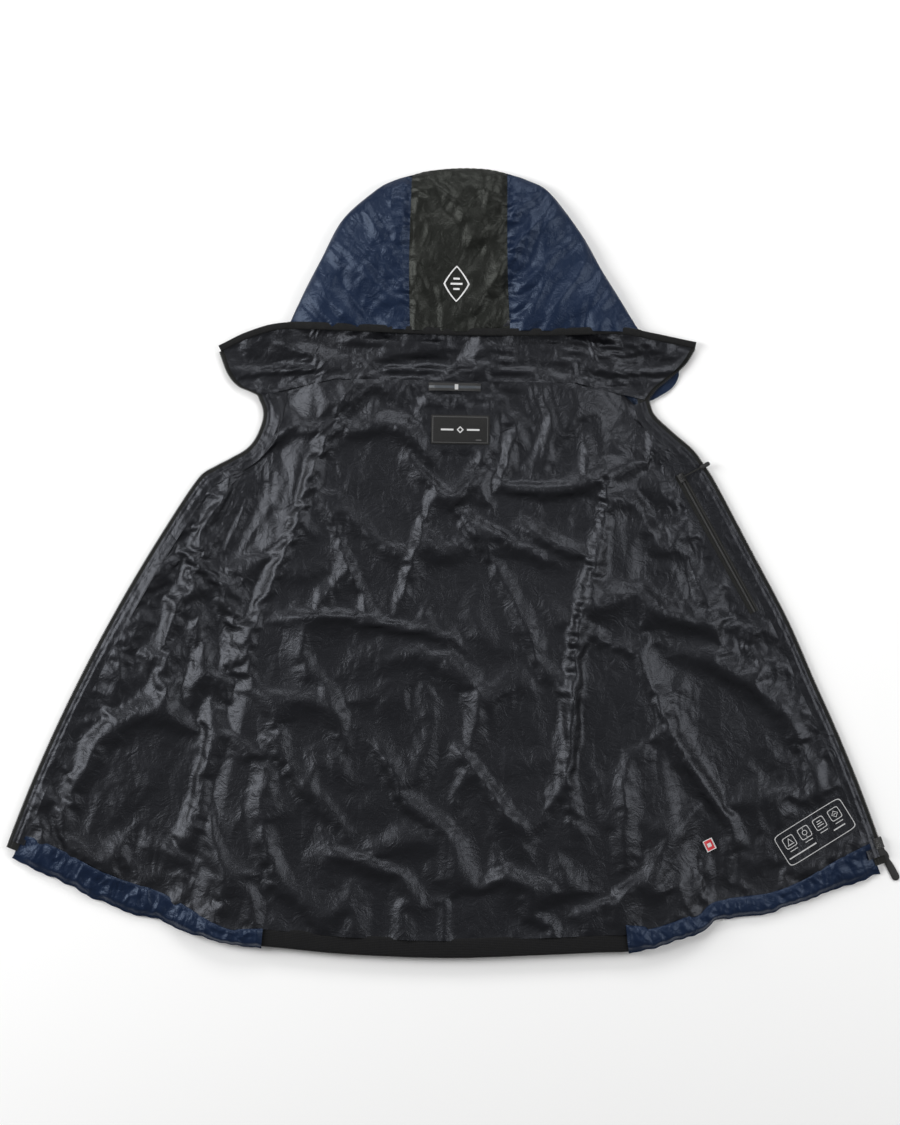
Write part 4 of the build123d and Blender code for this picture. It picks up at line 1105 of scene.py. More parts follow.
hood_parts = {}
for side, word in SIDES.items():
    flat, top = hood_wrap(hood_seam[side], hood_side[side], 52)
    hx, hy = flat[..., 0], flat[..., 1]
    z_top = hood_height(hx[:, :top], hy[:, :top], True)
    z = np.concatenate([z_top, hood_height(hx[:, top:], hy[:, top:], False)], axis=1)
    points = upward(np.dstack([flat, z])) if side > 0 else np.dstack([flat, z])[:, ::-1]
    hood_parts[word] = (points, navy_nylon, f"{word}_hood_panel")
crown = smooth_path(HOOD_CROWN, 53)
t = np.sin(0.5 * np.pi * np.linspace(0, 1, 72))
across = np.linspace(0, 1, 53)[None, :, None]
foot = hood_seam[-1][0] * (1 - across[0]) + hood_seam[1][0] * across[0]
foot[:, 1] = brim_y(foot[:, 0])
left_line, right_line = (at_shares(hood_seam[side], t) for side in (1, -1))
flat = right_line[:, None] * (1 - across) + left_line[:, None] * across
to_crown = t[:, None] ** 3 * (crown[:, 1] - flat[-1, :, 1])
to_foot = (1 - t[:, None]) ** 3 * (foot[:, 1] - flat[0, :, 1])
flat[..., 1] += to_crown + to_foot
z_top, z_low = hood_height(flat[..., 0], flat[..., 1], True), hood_height(flat[..., 0], flat[..., 1], False)
centre = np.concatenate([np.dstack([flat, z_top]), np.dstack([flat, z_low])[-2::-1]])
hood_parts["centre"] = (centre, black_nylon, "hood_centre_panel")
hood_pieces = {}
for word, (points, finish, node) in hood_parts.items():
    piece = cloth_piece(f"hood_{word}_panel_cloth", points, finish, thickness=0.0012)
    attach(piece, "hood")
    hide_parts(node)
    "black_shell" if word == "centre" else "navy_shell"
    hood_pieces[word] = piece

# the hood's lining: one bag inside the panels, from the brim over the crown and back
across = np.linspace(0.04, 0.96, 60)[None, :, None]
rows_in = np.linspace(0.0, 0.955, 70)
right_line, left_line = (at_shares(hood_side[side], rows_in) for side in (-1, 1))
flat = right_line[:, None] * (1 - across) + left_line[:, None] * across
ix, iy = flat[..., 0], flat[..., 1]
crush = 0.0010 * crumple(ix, iy, 0.035, 88, run=10, stretch=2.0)
z_top = np.maximum(hood_height(ix, iy, True) - 0.0065, HOOD_MIDDLE + 0.0005) + crush * 0.5
z_low = np.minimum(hood_height(ix, iy, False) + 0.0050, HOOD_MIDDLE - 0.0005) + crush * 0.5
bag = np.concatenate([np.dstack([flat, z_top]), np.dstack([flat, z_low])[-2::-1]])[:, ::-1]
bag_piece = cloth_piece("hood_lining_cloth", bag, lining_nylon)
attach(bag_piece, "hood")
say_sheet(bag_piece, bag, "folded", "hood_lining", slot="lining")

# ---- brim and collar bindings: one line of soft black elastic folded over the cloth's edge ----
# It runs from one collar tip along the hood's mouth to the other, and its pull gathers the cloth beside it.
elastic = woven_tape("elastic_rib", (0.0030, 0.0031, 0.0033), (0.0085, 0.0087, 0.0092), 0.0015, 0.5, 0.85)
BINDING_W = 0.0095
BINDING_T = 0.0036


def folded_strip(name, path, width, thick, finish, ripple, seed):
    """Elastic folded over an edge: a flat round-ended ring carried along a path, a little thicker and thinner
    and lifted here and there, as it is where it gathers."""
    turn = np.linspace(0, 2 * np.pi, 17)
    count = len(path)
    run = np.concatenate([[0], np.cumsum(np.linalg.norm(np.diff(path[:, :2], axis=0), axis=1))])
    wave = noise(run / 0.013, 0 * run, seed)
    across = 0.5 * width * np.sign(np.cos(turn)) * np.abs(np.cos(turn)) ** 0.7
    up = 0.5 * thick * np.sin(turn)
    heights = path[:, 2:3] + up[None] * (1 + 0.25 * wave[:, None]) + ripple * wave[:, None]
    points = strip_along(path, across, heights)
    points[:, -1] = points[:, 0]
    piece = grid_object(name, points, finish)
    piece.modifiers.new("weld", "WELD").merge_threshold = 1e-6
    return settled_mesh(piece), points


def say_ring(piece, points, *nodes, slot):
    """Hides the nodes that a stretched ring of tape stands for, after working out its length and its cut
    width, half the way round its section, which are not kept.
    """
    long = float(np.linalg.norm(np.diff(points, axis=0), axis=2).sum(axis=0).mean())
    wide = float(np.linalg.norm(np.diff(points, axis=1), axis=2).sum(axis=1).mean()) / 2
    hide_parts(*nodes)


def brim_path(low_x, high_x, count, height):
    x = np.linspace(low_x, high_x, count)
    return np.column_stack([x, brim_y(x), height(x)])


def hood_brim_z(x):
    inside = smooth_step((0.222 - np.abs(x - 0.010)) / 0.06)
    return 0.0205 + 0.0062 * inside


BRIM_ENDS = (-0.2135, 0.2345)
COLLAR_TIPS = {1: (0.2300, 0.3055), -1: (-0.2995, -0.2100)}
brim_piece, brim_points = folded_strip("hood_brim_elastic", brim_path(*BRIM_ENDS, 300, hood_brim_z),
                                       BINDING_W, BINDING_T, elastic, 0.0007, 101)
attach(brim_piece, "hood")
say_ring(brim_piece, brim_points, "hood_brim_binding", slot="stretch_binding")
for side, word in SIDES.items():
    piece, points = folded_strip(word + "_collar_elastic", brim_path(*COLLAR_TIPS[side], 70, wing_z),
                                 BINDING_W * 0.9, BINDING_T, elastic, 0.0004, 105 + side)
    across_fold(piece, side)
    say_ring(piece, points, word + "_collar_binding", slot="stretch_binding")

# ---- hem: navy turn-ups at both sides and a wide black stretch band across the back ----
# The shell is folded up over the wadding and sewn down, which puckers it; the band is knitted rib.
PUFF = 0.0034
UNDER_REACH = 0.024          # how far the turn-up's outer side runs in under the shell
TURNUP_ENDS = (BAND_HALF - 0.004, 0.5515)
for side, word in SIDES.items():
    xs = np.linspace(*TURNUP_ENDS, 230) * side
    if side < 0:
        xs = xs[::-1]
    path = np.column_stack([xs, hem_y(xs)])
    run = np.concatenate([[0], np.cumsum(np.linalg.norm(np.diff(path, axis=0), axis=1))])
    t = np.linspace(0, 1, 19)
    low_share = np.linspace(0, 1, 9)[1:]
    level = 1 - smooth_step((beyond_fold(xs, path[:, 1]) + 0.004) / 0.082)
    at_zip = 1 - smooth_step((TURNUP_ENDS[1] - np.abs(xs)) / 0.026)
    inner_z = (FRONT_TOP + (BACK_TOP - FRONT_TOP) * level) * (1 - at_zip) + 0.0050 * at_zip
    under_z = under_height(xs, path[:, 1]) + 0.0014
    pucker = noise(run / 0.0135, 0 * run, 121 + side)[:, None]
    long_wave = noise(run / 0.045, 0 * run, 123 + side)[:, None]
    slope = np.gradient(path[:, 1], path[:, 0])
    depth = ((turnup_y(xs) - path[:, 1]) / np.sqrt(1 + slope**2))[:, None] + 0.0004 * pucker
    under = np.repeat(UNDER_REACH * low_share[None], len(xs), 0)
    offsets = np.concatenate([depth * (1 - t), under], axis=1)
    swell = np.sin(np.pi * np.minimum(t * 1.02, 1)) ** 0.6
    hollow = 1 - smooth_step(t / 0.25)
    rows_run = np.repeat(run[:, None], len(t), 1)
    crush = crumple(rows_run, t[None] * 0.04, 0.018, 131 + side, run=80, stretch=2.0, octaves=2)
    folds = (0.0022 * pucker + 0.0010 * crush) * np.sin(np.pi * t) ** 0.5 + 0.0009 * pucker * hollow
    puffed = PUFF * swell + folds + 0.0010 * long_wave * swell
    upper = inner_z[:, None] + 0.0004 + puffed * (1 - 0.85 * at_zip[:, None])
    sill = np.interp(xs, lining[:5, :, 0].mean(axis=0), lining[:5, :, 2].max(axis=0)) + 0.0007
    upper = upper + np.maximum(sill - upper[:, 0], 0)[:, None] * (1 - smooth_step(t / 0.45))
    drop = smooth_step((t - 0.72) / 0.28)
    middle = 0.5 * (inner_z + under_z)[:, None]
    upper = upper * (1 - drop) + middle * drop
    lower = middle + (under_z[:, None] - middle) * np.sin(0.5 * np.pi * np.minimum(low_share * 2.2, 1))[None]
    heights = np.concatenate([upper, lower], axis=1)
    along = np.gradient(path, axis=0)
    along /= np.linalg.norm(along, axis=1)[:, None]
    left = np.column_stack([-along[:, 1], along[:, 0]])
    wobble = 0.0022 * pucker + 0.0026 * long_wave
    edge_push = np.concatenate([np.sin(0.5 * np.pi * t) ** 2, 1 - low_share * 0.8])[None]
    flat = path[:, None] + (offsets + (wobble - 0.0036) * edge_push)[..., None] * left[:, None]
    points = np.dstack([flat, heights])
    a, b = points[1, 0] - points[0, 0], points[0, 1] - points[0, 0]
    points = points if a[0] * b[1] - a[1] * b[0] < 0 else points[:, ::-1]
    points = points.transpose(1, 0, 2)[::-1]
    piece = cloth_piece(word + "_hem_turnup_cloth", points, navy_nylon, thickness=0.0008)
    across_fold(piece, side)
    say_sheet(piece, points, "folded", word + "_hem_turnup", "side_hems", slot="navy_shell")

band_rib = woven_tape("band_rib", (0.0026, 0.0026, 0.0030), (0.0080, 0.0080, 0.0086), 0.0021, 0.5, 0.9)
band_x = np.linspace(-BAND_HALF - 0.001, BAND_HALF + 0.001, 240)
band_path = np.column_stack([band_x, hem_y(band_x) + 0.5 * BAND_DEPTH + 0.001])
turn = np.linspace(0, 2 * np.pi, 33)
half = 0.5 * (BAND_DEPTH + 0.004)
ripple = 0.0007 * noise(band_x / 0.02, 0 * band_x, 141)[:, None]
band_z = 0.0160 + 0.0036 * np.sign(np.sin(turn)) * np.abs(np.sin(turn)) ** 0.6 + ripple
band_points = strip_along(band_path, half * np.sign(np.cos(turn)) * np.abs(np.cos(turn)) ** 0.6, band_z)
band_points[:, -1] = band_points[:, 0]
band_piece = grid_object("back_hem_band_rib", band_points, band_rib)
band_piece.modifiers.new("weld", "WELD").merge_threshold = 1e-6
settled_mesh(band_piece)
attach(band_piece, "root")
say_ring(band_piece, band_points, "back_hem_band", slot="stretch_binding")

# ---- sleeves: pressed flat under the back, cuffs towards the hem ----
# Each is a tube of navy nylon, wide at its rounded head and narrow at the elastic cuff.
SLEEVE_HEAD_HALF = 0.088
SLEEVE_CUFF_HALF = 0.054
SLEEVE_LONG = 0.640
SLEEVE_TURN = math.radians(11.6)
SLEEVE_Z = 0.0058            # height of the pressed sleeve's middle
for side, word in SIDES.items():
    lows, highs = (np.array(c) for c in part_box(word + "_cuff"))
    cuff_mid = 0.5 * (lows + highs)
    axis = np.array([side * math.sin(SLEEVE_TURN), -math.cos(SLEEVE_TURN)])
    head = cuff_mid[:2] - axis * (SLEEVE_LONG + 0.006)
    along = np.linspace(0.004, SLEEVE_LONG, 150)
    width = np.interp(along, [SLEEVE_HEAD_HALF, SLEEVE_LONG], [SLEEVE_HEAD_HALF, SLEEVE_CUFF_HALF])
    dome = np.sqrt(np.clip(1 - (1 - np.clip(along / SLEEVE_HEAD_HALF, 0, 1)) ** 2, 0, 1))
    width = np.where(along < SLEEVE_HEAD_HALF, SLEEVE_HEAD_HALF * np.maximum(dome, 0.05), width)
    turn = np.linspace(0, 2 * np.pi, 65)
    middle = head[None] + along[:, None] * axis[None]
    sideways = np.array([-axis[1], axis[0]])
    round_x = np.sign(np.cos(turn)) * np.abs(np.cos(turn)) ** 0.55
    round_z = np.sign(np.sin(turn)) * np.abs(np.sin(turn)) ** 0.45
    flat = middle[:, None] + (width[:, None] * round_x[None])[..., None] * sideways
    wrinkle = 0.0011 * crumple(flat[..., 0], flat[..., 1], 0.045, 151 + side, run=15, stretch=2.2)
    heights = SLEEVE_Z + (0.0050 - np.abs(wrinkle)) * round_z[None]
    points = np.dstack([flat, heights])
    points[:, -1] = points[:, 0]
    a = np.cross(points[1, 16] - points[0, 16], points[0, 17] - points[0, 16])
    sleeve = cloth_piece(word + "_sleeve_cloth", points if a[2] < 0 else points[:, ::-1], navy_nylon)
    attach(sleeve, "root")
    say_sheet(sleeve, points, "folded", word + "_sleeve_top", word + "_sleeve_under", slot="navy_shell")
    cuff_turn = np.linspace(0, 2 * np.pi, 81)
    loop_x = (SLEEVE_CUFF_HALF - 0.001) * np.sign(np.cos(cuff_turn)) * np.abs(np.cos(cuff_turn)) ** 0.55
    loop_z = 0.0044 * np.sign(np.sin(cuff_turn)) * np.abs(np.sin(cuff_turn)) ** 0.45
    ring_turn = np.linspace(0, 2 * np.pi, 13)
    ring_along = 0.0060 * np.cos(ring_turn)
    ring_out = 0.0012 * np.sin(ring_turn)
    cuff_flat = (cuff_mid[:2] + loop_x[:, None, None] * sideways * (1 + ring_out[None, :, None] * 15)
                 + ring_along[None, :, None] * axis)
    cuff_z = SLEEVE_Z + loop_z[:, None] * (1 + ring_out[None] * 230)
    cuff_points = np.dstack([cuff_flat, cuff_z])
    cuff_points[-1], cuff_points[:, -1] = cuff_points[0], cuff_points[:, 0]
    cuff = grid_object(word + "_cuff_elastic", cuff_points, elastic)
    cuff.modifiers.new("weld", "WELD").merge_threshold = 1e-6
    settled_mesh(cuff)
    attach(cuff, "root")
    say_ring(cuff, cuff_points, word + "_cuff", slot="stretch_binding")

# ---- neck label and hanger loop: woven pieces sewn at the middle of the back neck ----
# The label is a folded black damask patch with a stitched border and a plain woven sign. The loop is a flat
# tape, tacked at both ends, with a blue-grey satin stripe and a small pale bar tack in the middle.
label_low, label_high = (np.array(c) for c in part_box("neck_label"))
LABEL_W, LABEL_H = label_high[0] - label_low[0], label_high[1] - label_low[1]
damask = Finish("label_damask", Roughness=0.62, Sheen_Weight=0.03, Specular_IOR_Level=0.3)
across, up = cloth_axes(damask)
ribs = damask.calc("SINE", (across + up) * (2 * math.pi / 0.0010)) * 0.5 + 0.5
off_x = damask.calc("ABSOLUTE", across - LABEL_W / 2)
off_y = damask.calc("ABSOLUTE", up - LABEL_H / 2)
border = damask.calc("MAXIMUM", off_x - (LABEL_W / 2 - 0.0022), off_y - (LABEL_H / 2 - 0.0022))
ring = damask.calc("ABSOLUTE", border) < 0.0005
dash = damask.calc("FRACT", (across + up) * (1 / 0.0026)) < 0.7
diamond = off_x + off_y
sign = (diamond < 0.0045) - (diamond < 0.0026)
bars = ((off_x > 0.0085) * (off_x < 0.0245)) * (off_y < 0.0011)
small = ((off_x > 0.0200) * (off_x < 0.0270)) * ((across > LABEL_W / 2) * ((up > 0.0052) * (up < 0.0062)))
colour = damask.mixed(ribs, grey(0.0045), grey(0.0110))
colour = damask.mixed(ring * dash, colour, grey(0.075))
colour = damask.mixed(sign + bars, colour, grey(0.55))
colour = damask.mixed(small, colour, grey(0.12))
damask.feed(Base_Color=colour, Roughness=0.66 - 0.15 * ribs,
            Normal=damask.bump(0.4, 0.0003, ribs + ring * dash * 1.5))
lx, ly = np.meshgrid(np.linspace(label_low[0], label_high[0], 50),
                     np.linspace(label_low[1], label_high[1], 26))
edge_x = np.minimum(lx - label_low[0], label_high[0] - lx)
edge_y = np.minimum(ly - label_low[1], label_high[1] - ly)
lz = BACK_TOP + 0.0022 + 0.0006 * noise(lx / 0.03, ly / 0.03, 201)
lz = lz - 0.0009 * np.exp(-np.minimum(edge_x, edge_y) / 0.0015)
label_points = np.dstack([lx, ly, lz])
label = cloth_piece("neck_label_patch", label_points, damask, thickness=0.0012)
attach(label, "root")
say_sheet(label, label_points, "laid", "neck_label", slot="label")

loop_low, loop_high = (np.array(c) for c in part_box("hanger_loop"))
satin = Finish("loop_tape", Roughness=0.4, Sheen_Weight=0.2)
across, up = cloth_axes(satin)
stripe = satin.calc("ABSOLUTE", up - 0.0050) < 0.0016
threads = satin.calc("SINE", across * (2 * math.pi / 0.0009)) * 0.5 + 0.5
tack = (satin.calc("ABSOLUTE", across - 0.0360) < 0.0022) * (
    satin.calc("ABSOLUTE", up - 0.0050) < 0.0034)
colour = satin.mixed(threads, grey(0.006), grey(0.017))
colour = satin.mixed(stripe, colour, (0.022, 0.030, 0.040, 1.0))
colour = satin.mixed(tack, colour, grey(0.42))
satin.feed(Base_Color=colour, Roughness=0.7 - 0.35 * stripe,
           Normal=satin.bump(0.35, 0.0003, threads + tack))
loop_x = np.linspace(loop_low[0], loop_high[0], 70)
loop_y = np.linspace(loop_low[1], loop_high[1], 9)
arch = 1 - np.abs(loop_x / loop_high[0]) ** 6
loop_z = BACK_TOP + 0.0012 + (loop_high[2] - BACK_TOP - 0.0016) * smooth_step(arch * 1.1)
points = np.dstack([*np.meshgrid(loop_x, loop_y), np.repeat(loop_z[None], 9, 0)])
points[..., 2] += 0.0004 * noise(points[..., 0] / 0.02, points[..., 1] / 0.01, 203)
loop = cloth_piece("hanger_loop_tape", points, satin, thickness=0.0010)
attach(loop, "root")
say_sheet(loop, points, "stretched", "hanger_loop", slot="loop")

# ---- inner pocket on the wearer's left front, and the hand pocket zips in the outer faces ----
# Each is a coil zip: two tapes sewn flat with the coil between them. The inner one opens a thin bag behind
# the lining, and its slider has a cord pull with a moulded end.
pocket_run = next(joint for joint in frame["joints"] if joint["name"] == "pocket_slider_run")
POCKET_DOWN = np.array(pocket_run["axis"][:2])
POCKET_LONG = 0.200
COIL_PITCH = 0.0016
POCKET_ZIP_Z = 0.0080        # height of the inner pocket's tape
HAND_ZIP_Z = 0.0027          # and of a hand pocket's, which faces the table
coil_plastic = speckled("coil_plastic", 500.0, 3.0, 0.006, 0.024, 0.35, 0.25, 0.15, 0.0002)


def coil_zip(word, top, down, length, width, low, up_sign, body, node):
    """A coil zip along a straight line: a tape with turned-under edges, and a ribbed half-round coil."""
    down = np.array(down) / np.linalg.norm(down)
    path = np.array(top) + np.linspace(0, length, 90)[:, None] * down
    offsets = np.linspace(-width / 2, width / 2, 15)
    bow = low + up_sign * (0.0004 + 0.0005 * np.exp(-(np.abs(offsets) - 0.0032) ** 2 / 0.0013 ** 2))
    tape = strip_along(path, offsets, bow)
    tape = upward(tape) if up_sign > 0 else upward(tape)[:, ::-1]
    tape_piece = cloth_piece(word + "_tape", tape, tape_weave, thickness=0.0007)
    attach(tape_piece, body)
    say_sheet(tape_piece, tape, "stretched", node, slot="zip_tape")
    count = int(length / COIL_PITCH * 4)
    run = np.linspace(0, length, count)
    path = np.array(top) + run[:, None] * down
    turn = np.linspace(0, np.pi, 9)
    rib = 1 - 0.22 * (0.5 + 0.5 * np.cos(2 * np.pi * run / COIL_PITCH))[:, None]
    heights = low + up_sign * (0.0006 + 0.0013 * np.sin(turn)[None] * rib)
    coil = strip_along(path, 0.0015 * np.cos(turn), heights)
    coil = upward(coil) if up_sign > 0 else upward(coil)[:, ::-1]
    coil_piece = cloth_piece(word + "_coil", coil, coil_plastic, thickness=0.0004)
    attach(coil_piece, body)


coil_zip("inner_pocket_zip", POCKET_TOP, POCKET_DOWN, POCKET_LONG, 0.012, POCKET_ZIP_Z, 1, "left_front",
         "inner_pocket_zip")
for side, word in SIDES.items():
    top, down = hand_pocket_line(side, word)
    coil_zip(word + "_hand_pocket_zip", top, down, HAND_ZIP_LONG, 0.014, HAND_ZIP_Z, -1, word + "_front",
             word + "_hand_pocket_zip")
sideways = np.array([-POCKET_DOWN[1], POCKET_DOWN[0]])
s, t = np.meshgrid(np.linspace(0, 0.110, 30), np.linspace(0, 0.185, 44))
flat = POCKET_TOP + np.array([-0.004, -0.004]) - s[..., None] * sideways + t[..., None] * POCKET_DOWN
z = 0.0037 + 0.0003 * np.clip(crumple(flat[..., 0], flat[..., 1], 0.03, 211), -1, 1)
bag = upward(np.dstack([flat, z]))
bag_piece = cloth_piece("inner_pocket_bag_cloth", bag, lining_nylon, thickness=0.0005)
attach(bag_piece, "left_front")
say_sheet(bag_piece, bag, "laid", "inner_pocket_bag", slot="lining")

# ---- prints: a care panel on the lining and a plain sign on the hood, in thin white ink ----
# Both are outlines and bars only. They are laid on the cloth and follow its folds.
ink = speckled("white_ink", 700.0, 4.0, 0.50, 0.82, 0.5, 0.2, 0.15, 0.0002)
soft_ink = speckled("care_ink", 700.0, 4.0, 0.34, 0.60, 0.5, 0.2, 0.15, 0.0002)


def outline_ring(centre, half_w, half_h, line, power=0.35, steps=96, turn=0.0):
    """A closed outline of even width about a centre: a circle pulled out towards its corners by the power,
    as an inner and an outer row of points; power 1 is an ellipse and 2 a diamond."""
    a = np.linspace(0, 2 * np.pi, 4001)
    c, s = np.cos(a), np.sin(a)
    shape = np.column_stack([np.sign(c) * np.abs(c) ** power, np.sign(s) * np.abs(s) ** power])
    outer = shape * [half_w, half_h]
    run = np.concatenate([[0], np.cumsum(np.linalg.norm(np.diff(outer, axis=0), axis=1))])
    even = np.linspace(0, run[-1], steps + 1)
    shape = np.column_stack([np.interp(even, run, shape[:, k]) for k in (0, 1)])
    ring = np.stack([shape * [half_w, half_h], shape * [half_w - line, half_h - line]], axis=1)
    ring[-1] = ring[0]
    spin = np.array([[math.cos(turn), math.sin(turn)], [-math.sin(turn), math.cos(turn)]])
    return ring @ spin + np.array(centre)


def ink_bar(centre, length, line, turn=0.0, steps=10):
    """A short bar of ink."""
    run = np.linspace(-length / 2, length / 2, steps + 1)
    half = np.full(steps + 1, line / 2)
    bar = np.stack([np.column_stack([run, half]), np.column_stack([run, -half])], axis=1)
    spin = np.array([[math.cos(turn), math.sin(turn)], [-math.sin(turn), math.cos(turn)]])
    return bar @ spin + np.array(centre)


def print_on(name, strips, spot, turn, target, finish, gap):
    """Joins strips of ink into one thin mesh, turned and set at a spot, and lays it on a piece."""
    points, quads, start = [], [], 0
    spin = np.array([[math.cos(turn), math.sin(turn)], [-math.sin(turn), math.cos(turn)]])
    for strip in strips:
        rows = len(strip)
        placed = strip.reshape(-1, 2) @ spin + spot
        points.append(np.column_stack([placed, np.full(len(placed), 0.06)]))
        i = start + 2 * np.arange(rows - 1)
        quads.append(np.column_stack([i, i + 1, i + 3, i + 2]))
        start += 2 * rows
    points, quads = np.vstack(points), np.vstack(quads)
    a, b, c = (points[quads[:, k]] for k in (0, 1, 2))
    down = np.cross(b - a, c - a)[:, 2] < 0
    quads[down] = quads[down, ::-1]
    mesh = bpy.data.meshes.new(name)
    mesh.from_pydata(points, [], quads)
    mesh.materials.append(finish.material)
    piece = bpy.data.objects.new(name, mesh)
    bpy.context.scene.collection.objects.link(piece)
    wrap = piece.modifiers.new("lay", "SHRINKWRAP")
    wrap.target, wrap.wrap_method, wrap.wrap_mode = target, "PROJECT", "ABOVE_SURFACE"
    wrap.use_project_z, wrap.use_negative_direction, wrap.use_positive_direction = True, True, False
    wrap.offset = gap
    piece.modifiers.new("weld", "WELD").merge_threshold = 1e-6
    wall = piece.modifiers.new("ink", "SOLIDIFY")
    wall.thickness, wall.offset = 0.0002, -1.0
    return settled_mesh(piece)


CARE_W, CARE_H = 0.099, 0.044
care = [outline_ring((0, 0), CARE_W / 2, CARE_H / 2, 0.0009, power=0.16, steps=160)]
for place, kind in enumerate(("sail", "sun", "waves", "drop")):
    cx = -0.034 + 0.0225 * place
    care.append(outline_ring((cx, 0.0065), 0.0078, 0.0078, 0.0009, power=0.30, steps=60))
    if kind == "sail":
        care += [ink_bar((cx - 0.0012, 0.0075), 0.0080, 0.0008, turn=1.15),
                 ink_bar((cx + 0.0020, 0.0075), 0.0080, 0.0008, turn=-1.15),
                 ink_bar((cx, 0.0028), 0.0090, 0.0011)]
    if kind == "sun":
        care += [outline_ring((cx, 0.0065), 0.0034, 0.0034, 0.0009, power=1, steps=36)]
        care += [ink_bar((cx, 0.0065 + lift), 0.0022, 0.0007, turn=math.pi / 2) for lift in (-0.0055, 0.0055)]
    if kind == "waves":
        care += [ink_bar((cx, 0.0035 + 0.0030 * k), 0.0090 - 0.0016 * k, 0.0010) for k in range(3)]
    if kind == "drop":
        care += [outline_ring((cx, 0.0065), 0.0046, 0.0046, 0.0010, power=2.0, steps=36),
                 ink_bar((cx, 0.0065), 0.0034, 0.0009)]
    care.append(ink_bar((cx, -0.0050), 0.0110, 0.0010))
care += [ink_bar((-0.0255, -0.0125), 0.0400, 0.0016, steps=20), ink_bar((0.0300, -0.0110), 0.0170, 0.0015)]
care_low, care_high = (np.array(c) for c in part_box("care_panel"))
care_spot = 0.5 * (care_low + care_high)[:2]
care_piece = print_on("care_panel_print", care, care_spot, CARE_TURN, panels["left_front"][0], soft_ink,
                      0.0006)
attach(care_piece, "left_front")
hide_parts("care_panel")
sign = [outline_ring((0, 0.004), 0.0165, 0.0230, 0.0022, power=1.75, steps=96)]
for bar_y, bar_long in ((0.0105, 0.0080), (0.0040, 0.0150), (-0.0025, 0.0080)):
    sign.append(ink_bar((0, bar_y), bar_long, 0.0024))
mark_low, mark_high = (np.array(c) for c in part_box("hood_mark"))
mark_spot = 0.5 * (mark_low + mark_high)[:2]
mark_piece = print_on("hood_sign_print", sign, mark_spot, 0.0, hood_pieces["centre"], ink, 0.0005)
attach(mark_piece, "hood")
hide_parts("hood_mark")

# ---- side label: a small folded tape label caught in the side seam ----
# Red satin with a pale border and a plain pale square.
side_low, side_high = (np.array(c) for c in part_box("side_label"))
red_satin = Finish("red_satin", Roughness=0.45, Sheen_Weight=0.3)
across, up = cloth_axes(red_satin)
threads = red_satin.calc("SINE", up * (2 * math.pi / 0.0008)) * 0.5 + 0.5
off_x = red_satin.calc("ABSOLUTE", across - 0.0060)
off_y = red_satin.calc("ABSOLUTE", up - 0.0075)
rim = red_satin.calc("MAXIMUM", off_x - 0.0052, off_y - 0.0066) > 0.0
patch = (off_x < 0.0026) * (off_y < 0.0026)
colour = red_satin.mixed(threads, (0.42, 0.012, 0.020, 1.0), (0.58, 0.030, 0.040, 1.0))
colour = red_satin.mixed(rim + patch, colour, grey(0.60))
red_satin.feed(Base_Color=colour, Roughness=0.55 - 0.15 * threads,
               Normal=red_satin.bump(0.3, 0.0002, threads))
spot = 0.5 * (side_low + side_high)[:2] + [0.0005, 0.0045]
cos, sin = math.cos(math.radians(27.0)), math.sin(math.radians(27.0))
s, t = np.meshgrid(np.linspace(-0.006, 0.006, 13), np.linspace(-0.0075, 0.0075, 16))
flat = np.stack([spot[0] + s * cos - t * sin, spot[1] + s * sin + t * cos], axis=-1)
side_points = np.dstack([flat, 0.0108 + 0.0014 * (s / 0.006) ** 2 + 0.0006 * np.sin(t * 300)])
side_label = cloth_piece("side_label_tape", side_points, red_satin, thickness=0.0014)
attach(side_label, "left_front")
say_sheet(side_label, side_points, "folded", "side_label", slot="side_label")

# ---- sliders, pulls and the ends of the main zip: painted metal, moulded plastic and rubber ----
# The two-way parts of the zip are small castings. The main pull is rubber on the slider's pin and the
# pocket's pull is a cord through the slider's post with a moulded tube over its end.
gunmetal = Finish("painted_metal", Metallic=0.75, Roughness=0.35)
chips = gunmetal.specks(900.0, 5.0)
rub = gunmetal.node("MapRange", {}, {"Value": chips, "From Min": 0.55, "From Max": 0.72})
gunmetal.feed(Base_Color=gunmetal.mixed(rub, grey(0.045), grey(0.30)), Roughness=0.30 + 0.3 * chips,
              Normal=gunmetal.bump(0.1, 0.0002, chips))
rubber = speckled("pull_rubber", 600.0, 5.0, 0.010, 0.030, 0.52, 0.25, 0.2, 0.0002, Specular_IOR_Level=0.35)
CASTINGS = {"main_slider": gunmetal, "pocket_slider": gunmetal, "zip_retainer_box": tooth_plastic,
            "zip_insertion_pin": tooth_plastic}
for node, finish in CASTINGS.items():
    for place in frame["nodes"][node].material_slots:
        place.material = finish.material


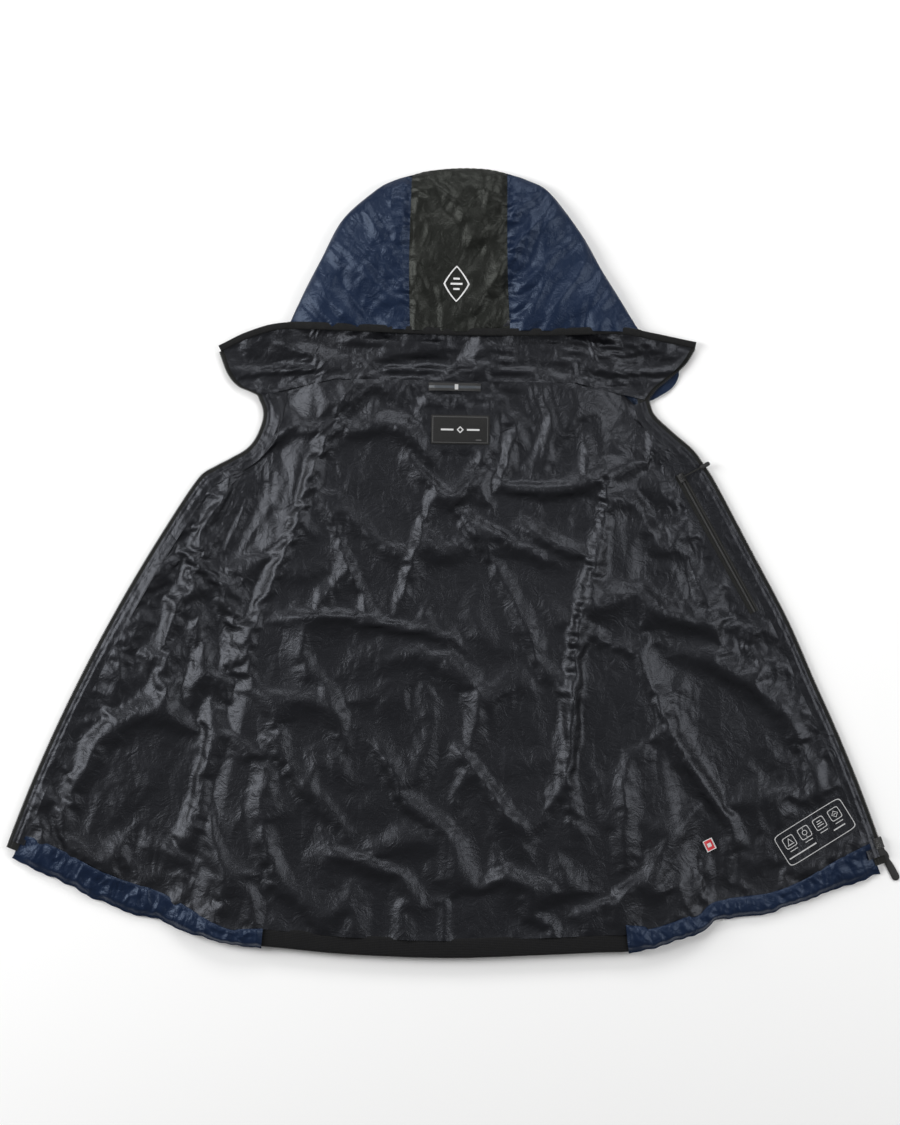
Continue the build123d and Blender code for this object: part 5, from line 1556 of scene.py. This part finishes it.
def rounded_bar(name, start, end, widths, heights, finish, power=0.6):
    """A bar from one point to another with a rounded-square section, its width and height given at even
    places along it; both ends are drawn in to a point so that they close."""
    start, end = np.array(start, float), np.array(end, float)
    down = (end - start) / np.linalg.norm(end - start)
    across = np.array([-down[1], down[0], 0.0])
    t = np.concatenate([[0], 0.5 - 0.5 * np.cos(np.pi * np.linspace(0.04, 0.96, 46)), [1]])
    close = 0.5 * np.sqrt(np.clip(1 - np.abs(2 * t - 1) ** 14, 0, 1))
    w = np.interp(t, np.linspace(0, 1, len(widths)), widths) * close
    h = np.interp(t, np.linspace(0, 1, len(heights)), heights) * close
    a = np.linspace(0, 2 * np.pi, 33)
    c, s = np.cos(a), np.sin(a)
    c, s = np.sign(c) * np.abs(c) ** power, np.sign(s) * np.abs(s) ** power
    middle = start + t[:, None] * (end - start)
    points = middle[:, None] + (w[:, None] * c)[..., None] * across + (h[:, None] * s)[..., None] * [0, 0, 1]
    points[:, -1] = points[:, 0]
    piece = grid_object(name, points, finish)
    piece.modifiers.new("weld", "WELD").merge_threshold = 1e-6
    settled_mesh(piece)
    work = bmesh.new()
    work.from_mesh(piece.data)
    bmesh.ops.recalc_face_normals(work, faces=work.faces)
    work.to_mesh(piece.data)
    work.free()
    return piece


pull_flip = next(joint for joint in frame["joints"] if joint["name"] == "main_pull_flip")
pin = np.array(pull_flip["pos_m"])
PULL_LONG = 0.054
pull_turn = math.radians(29.0)
pull_dir = np.array([math.sin(pull_turn), -math.cos(pull_turn), 0.0])
pull_at = [0.0, 0.010, 0.014, 0.017, 0.020, 0.023, 0.0265, 0.029, 0.033, 0.040, 0.050, 0.054]
pull_wide = [0.0050, 0.0056, 0.0086, 0.0104, 0.0110, 0.0100, 0.0066, 0.0084, 0.0092, 0.0098, 0.0102, 0.0092]
even = np.linspace(0, PULL_LONG, 80)
ridges = 0.00025 * np.sin(even / 0.0016 * 2 * np.pi) * (even > 0.031) * (even < 0.048)
pull = rounded_bar("main_pull_rubber", pin - 0.0016 * pull_dir, pin + PULL_LONG * pull_dir,
                   np.interp(even, pull_at, pull_wide), 0.0027 + ridges, rubber, 0.75)
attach(pull, "main_pull")
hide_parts("main_pull")
post = np.array(next(joint for joint in frame["joints"] if joint["name"] == "pocket_pull_swing")["pos_m"])
PULL_CORD = 0.029
PULL_CORD_D = 0.0022
cord_turn = math.radians(29.0)
cord_dir = np.array([math.cos(cord_turn), math.sin(cord_turn), 0])
cord = rounded_bar("pocket_pull_string", post, post + PULL_CORD * cord_dir, [PULL_CORD_D] * 2,
                   [PULL_CORD_D] * 2, tape_weave, 1.0)
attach(cord, "pocket_pull")
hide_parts("pocket_pull_cord")
toggle_ends = post + (PULL_CORD - 0.002) * cord_dir, post + (PULL_CORD + 0.012) * cord_dir
toggle = rounded_bar("pocket_pull_toggle", *toggle_ends, [0.0036, 0.0056, 0.0052, 0.0058, 0.0046],
                     [0.0036, 0.0050, 0.0048, 0.0050, 0.0040], rubber, 0.8)
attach(toggle, "pocket_pull")
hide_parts("pocket_pull_end")
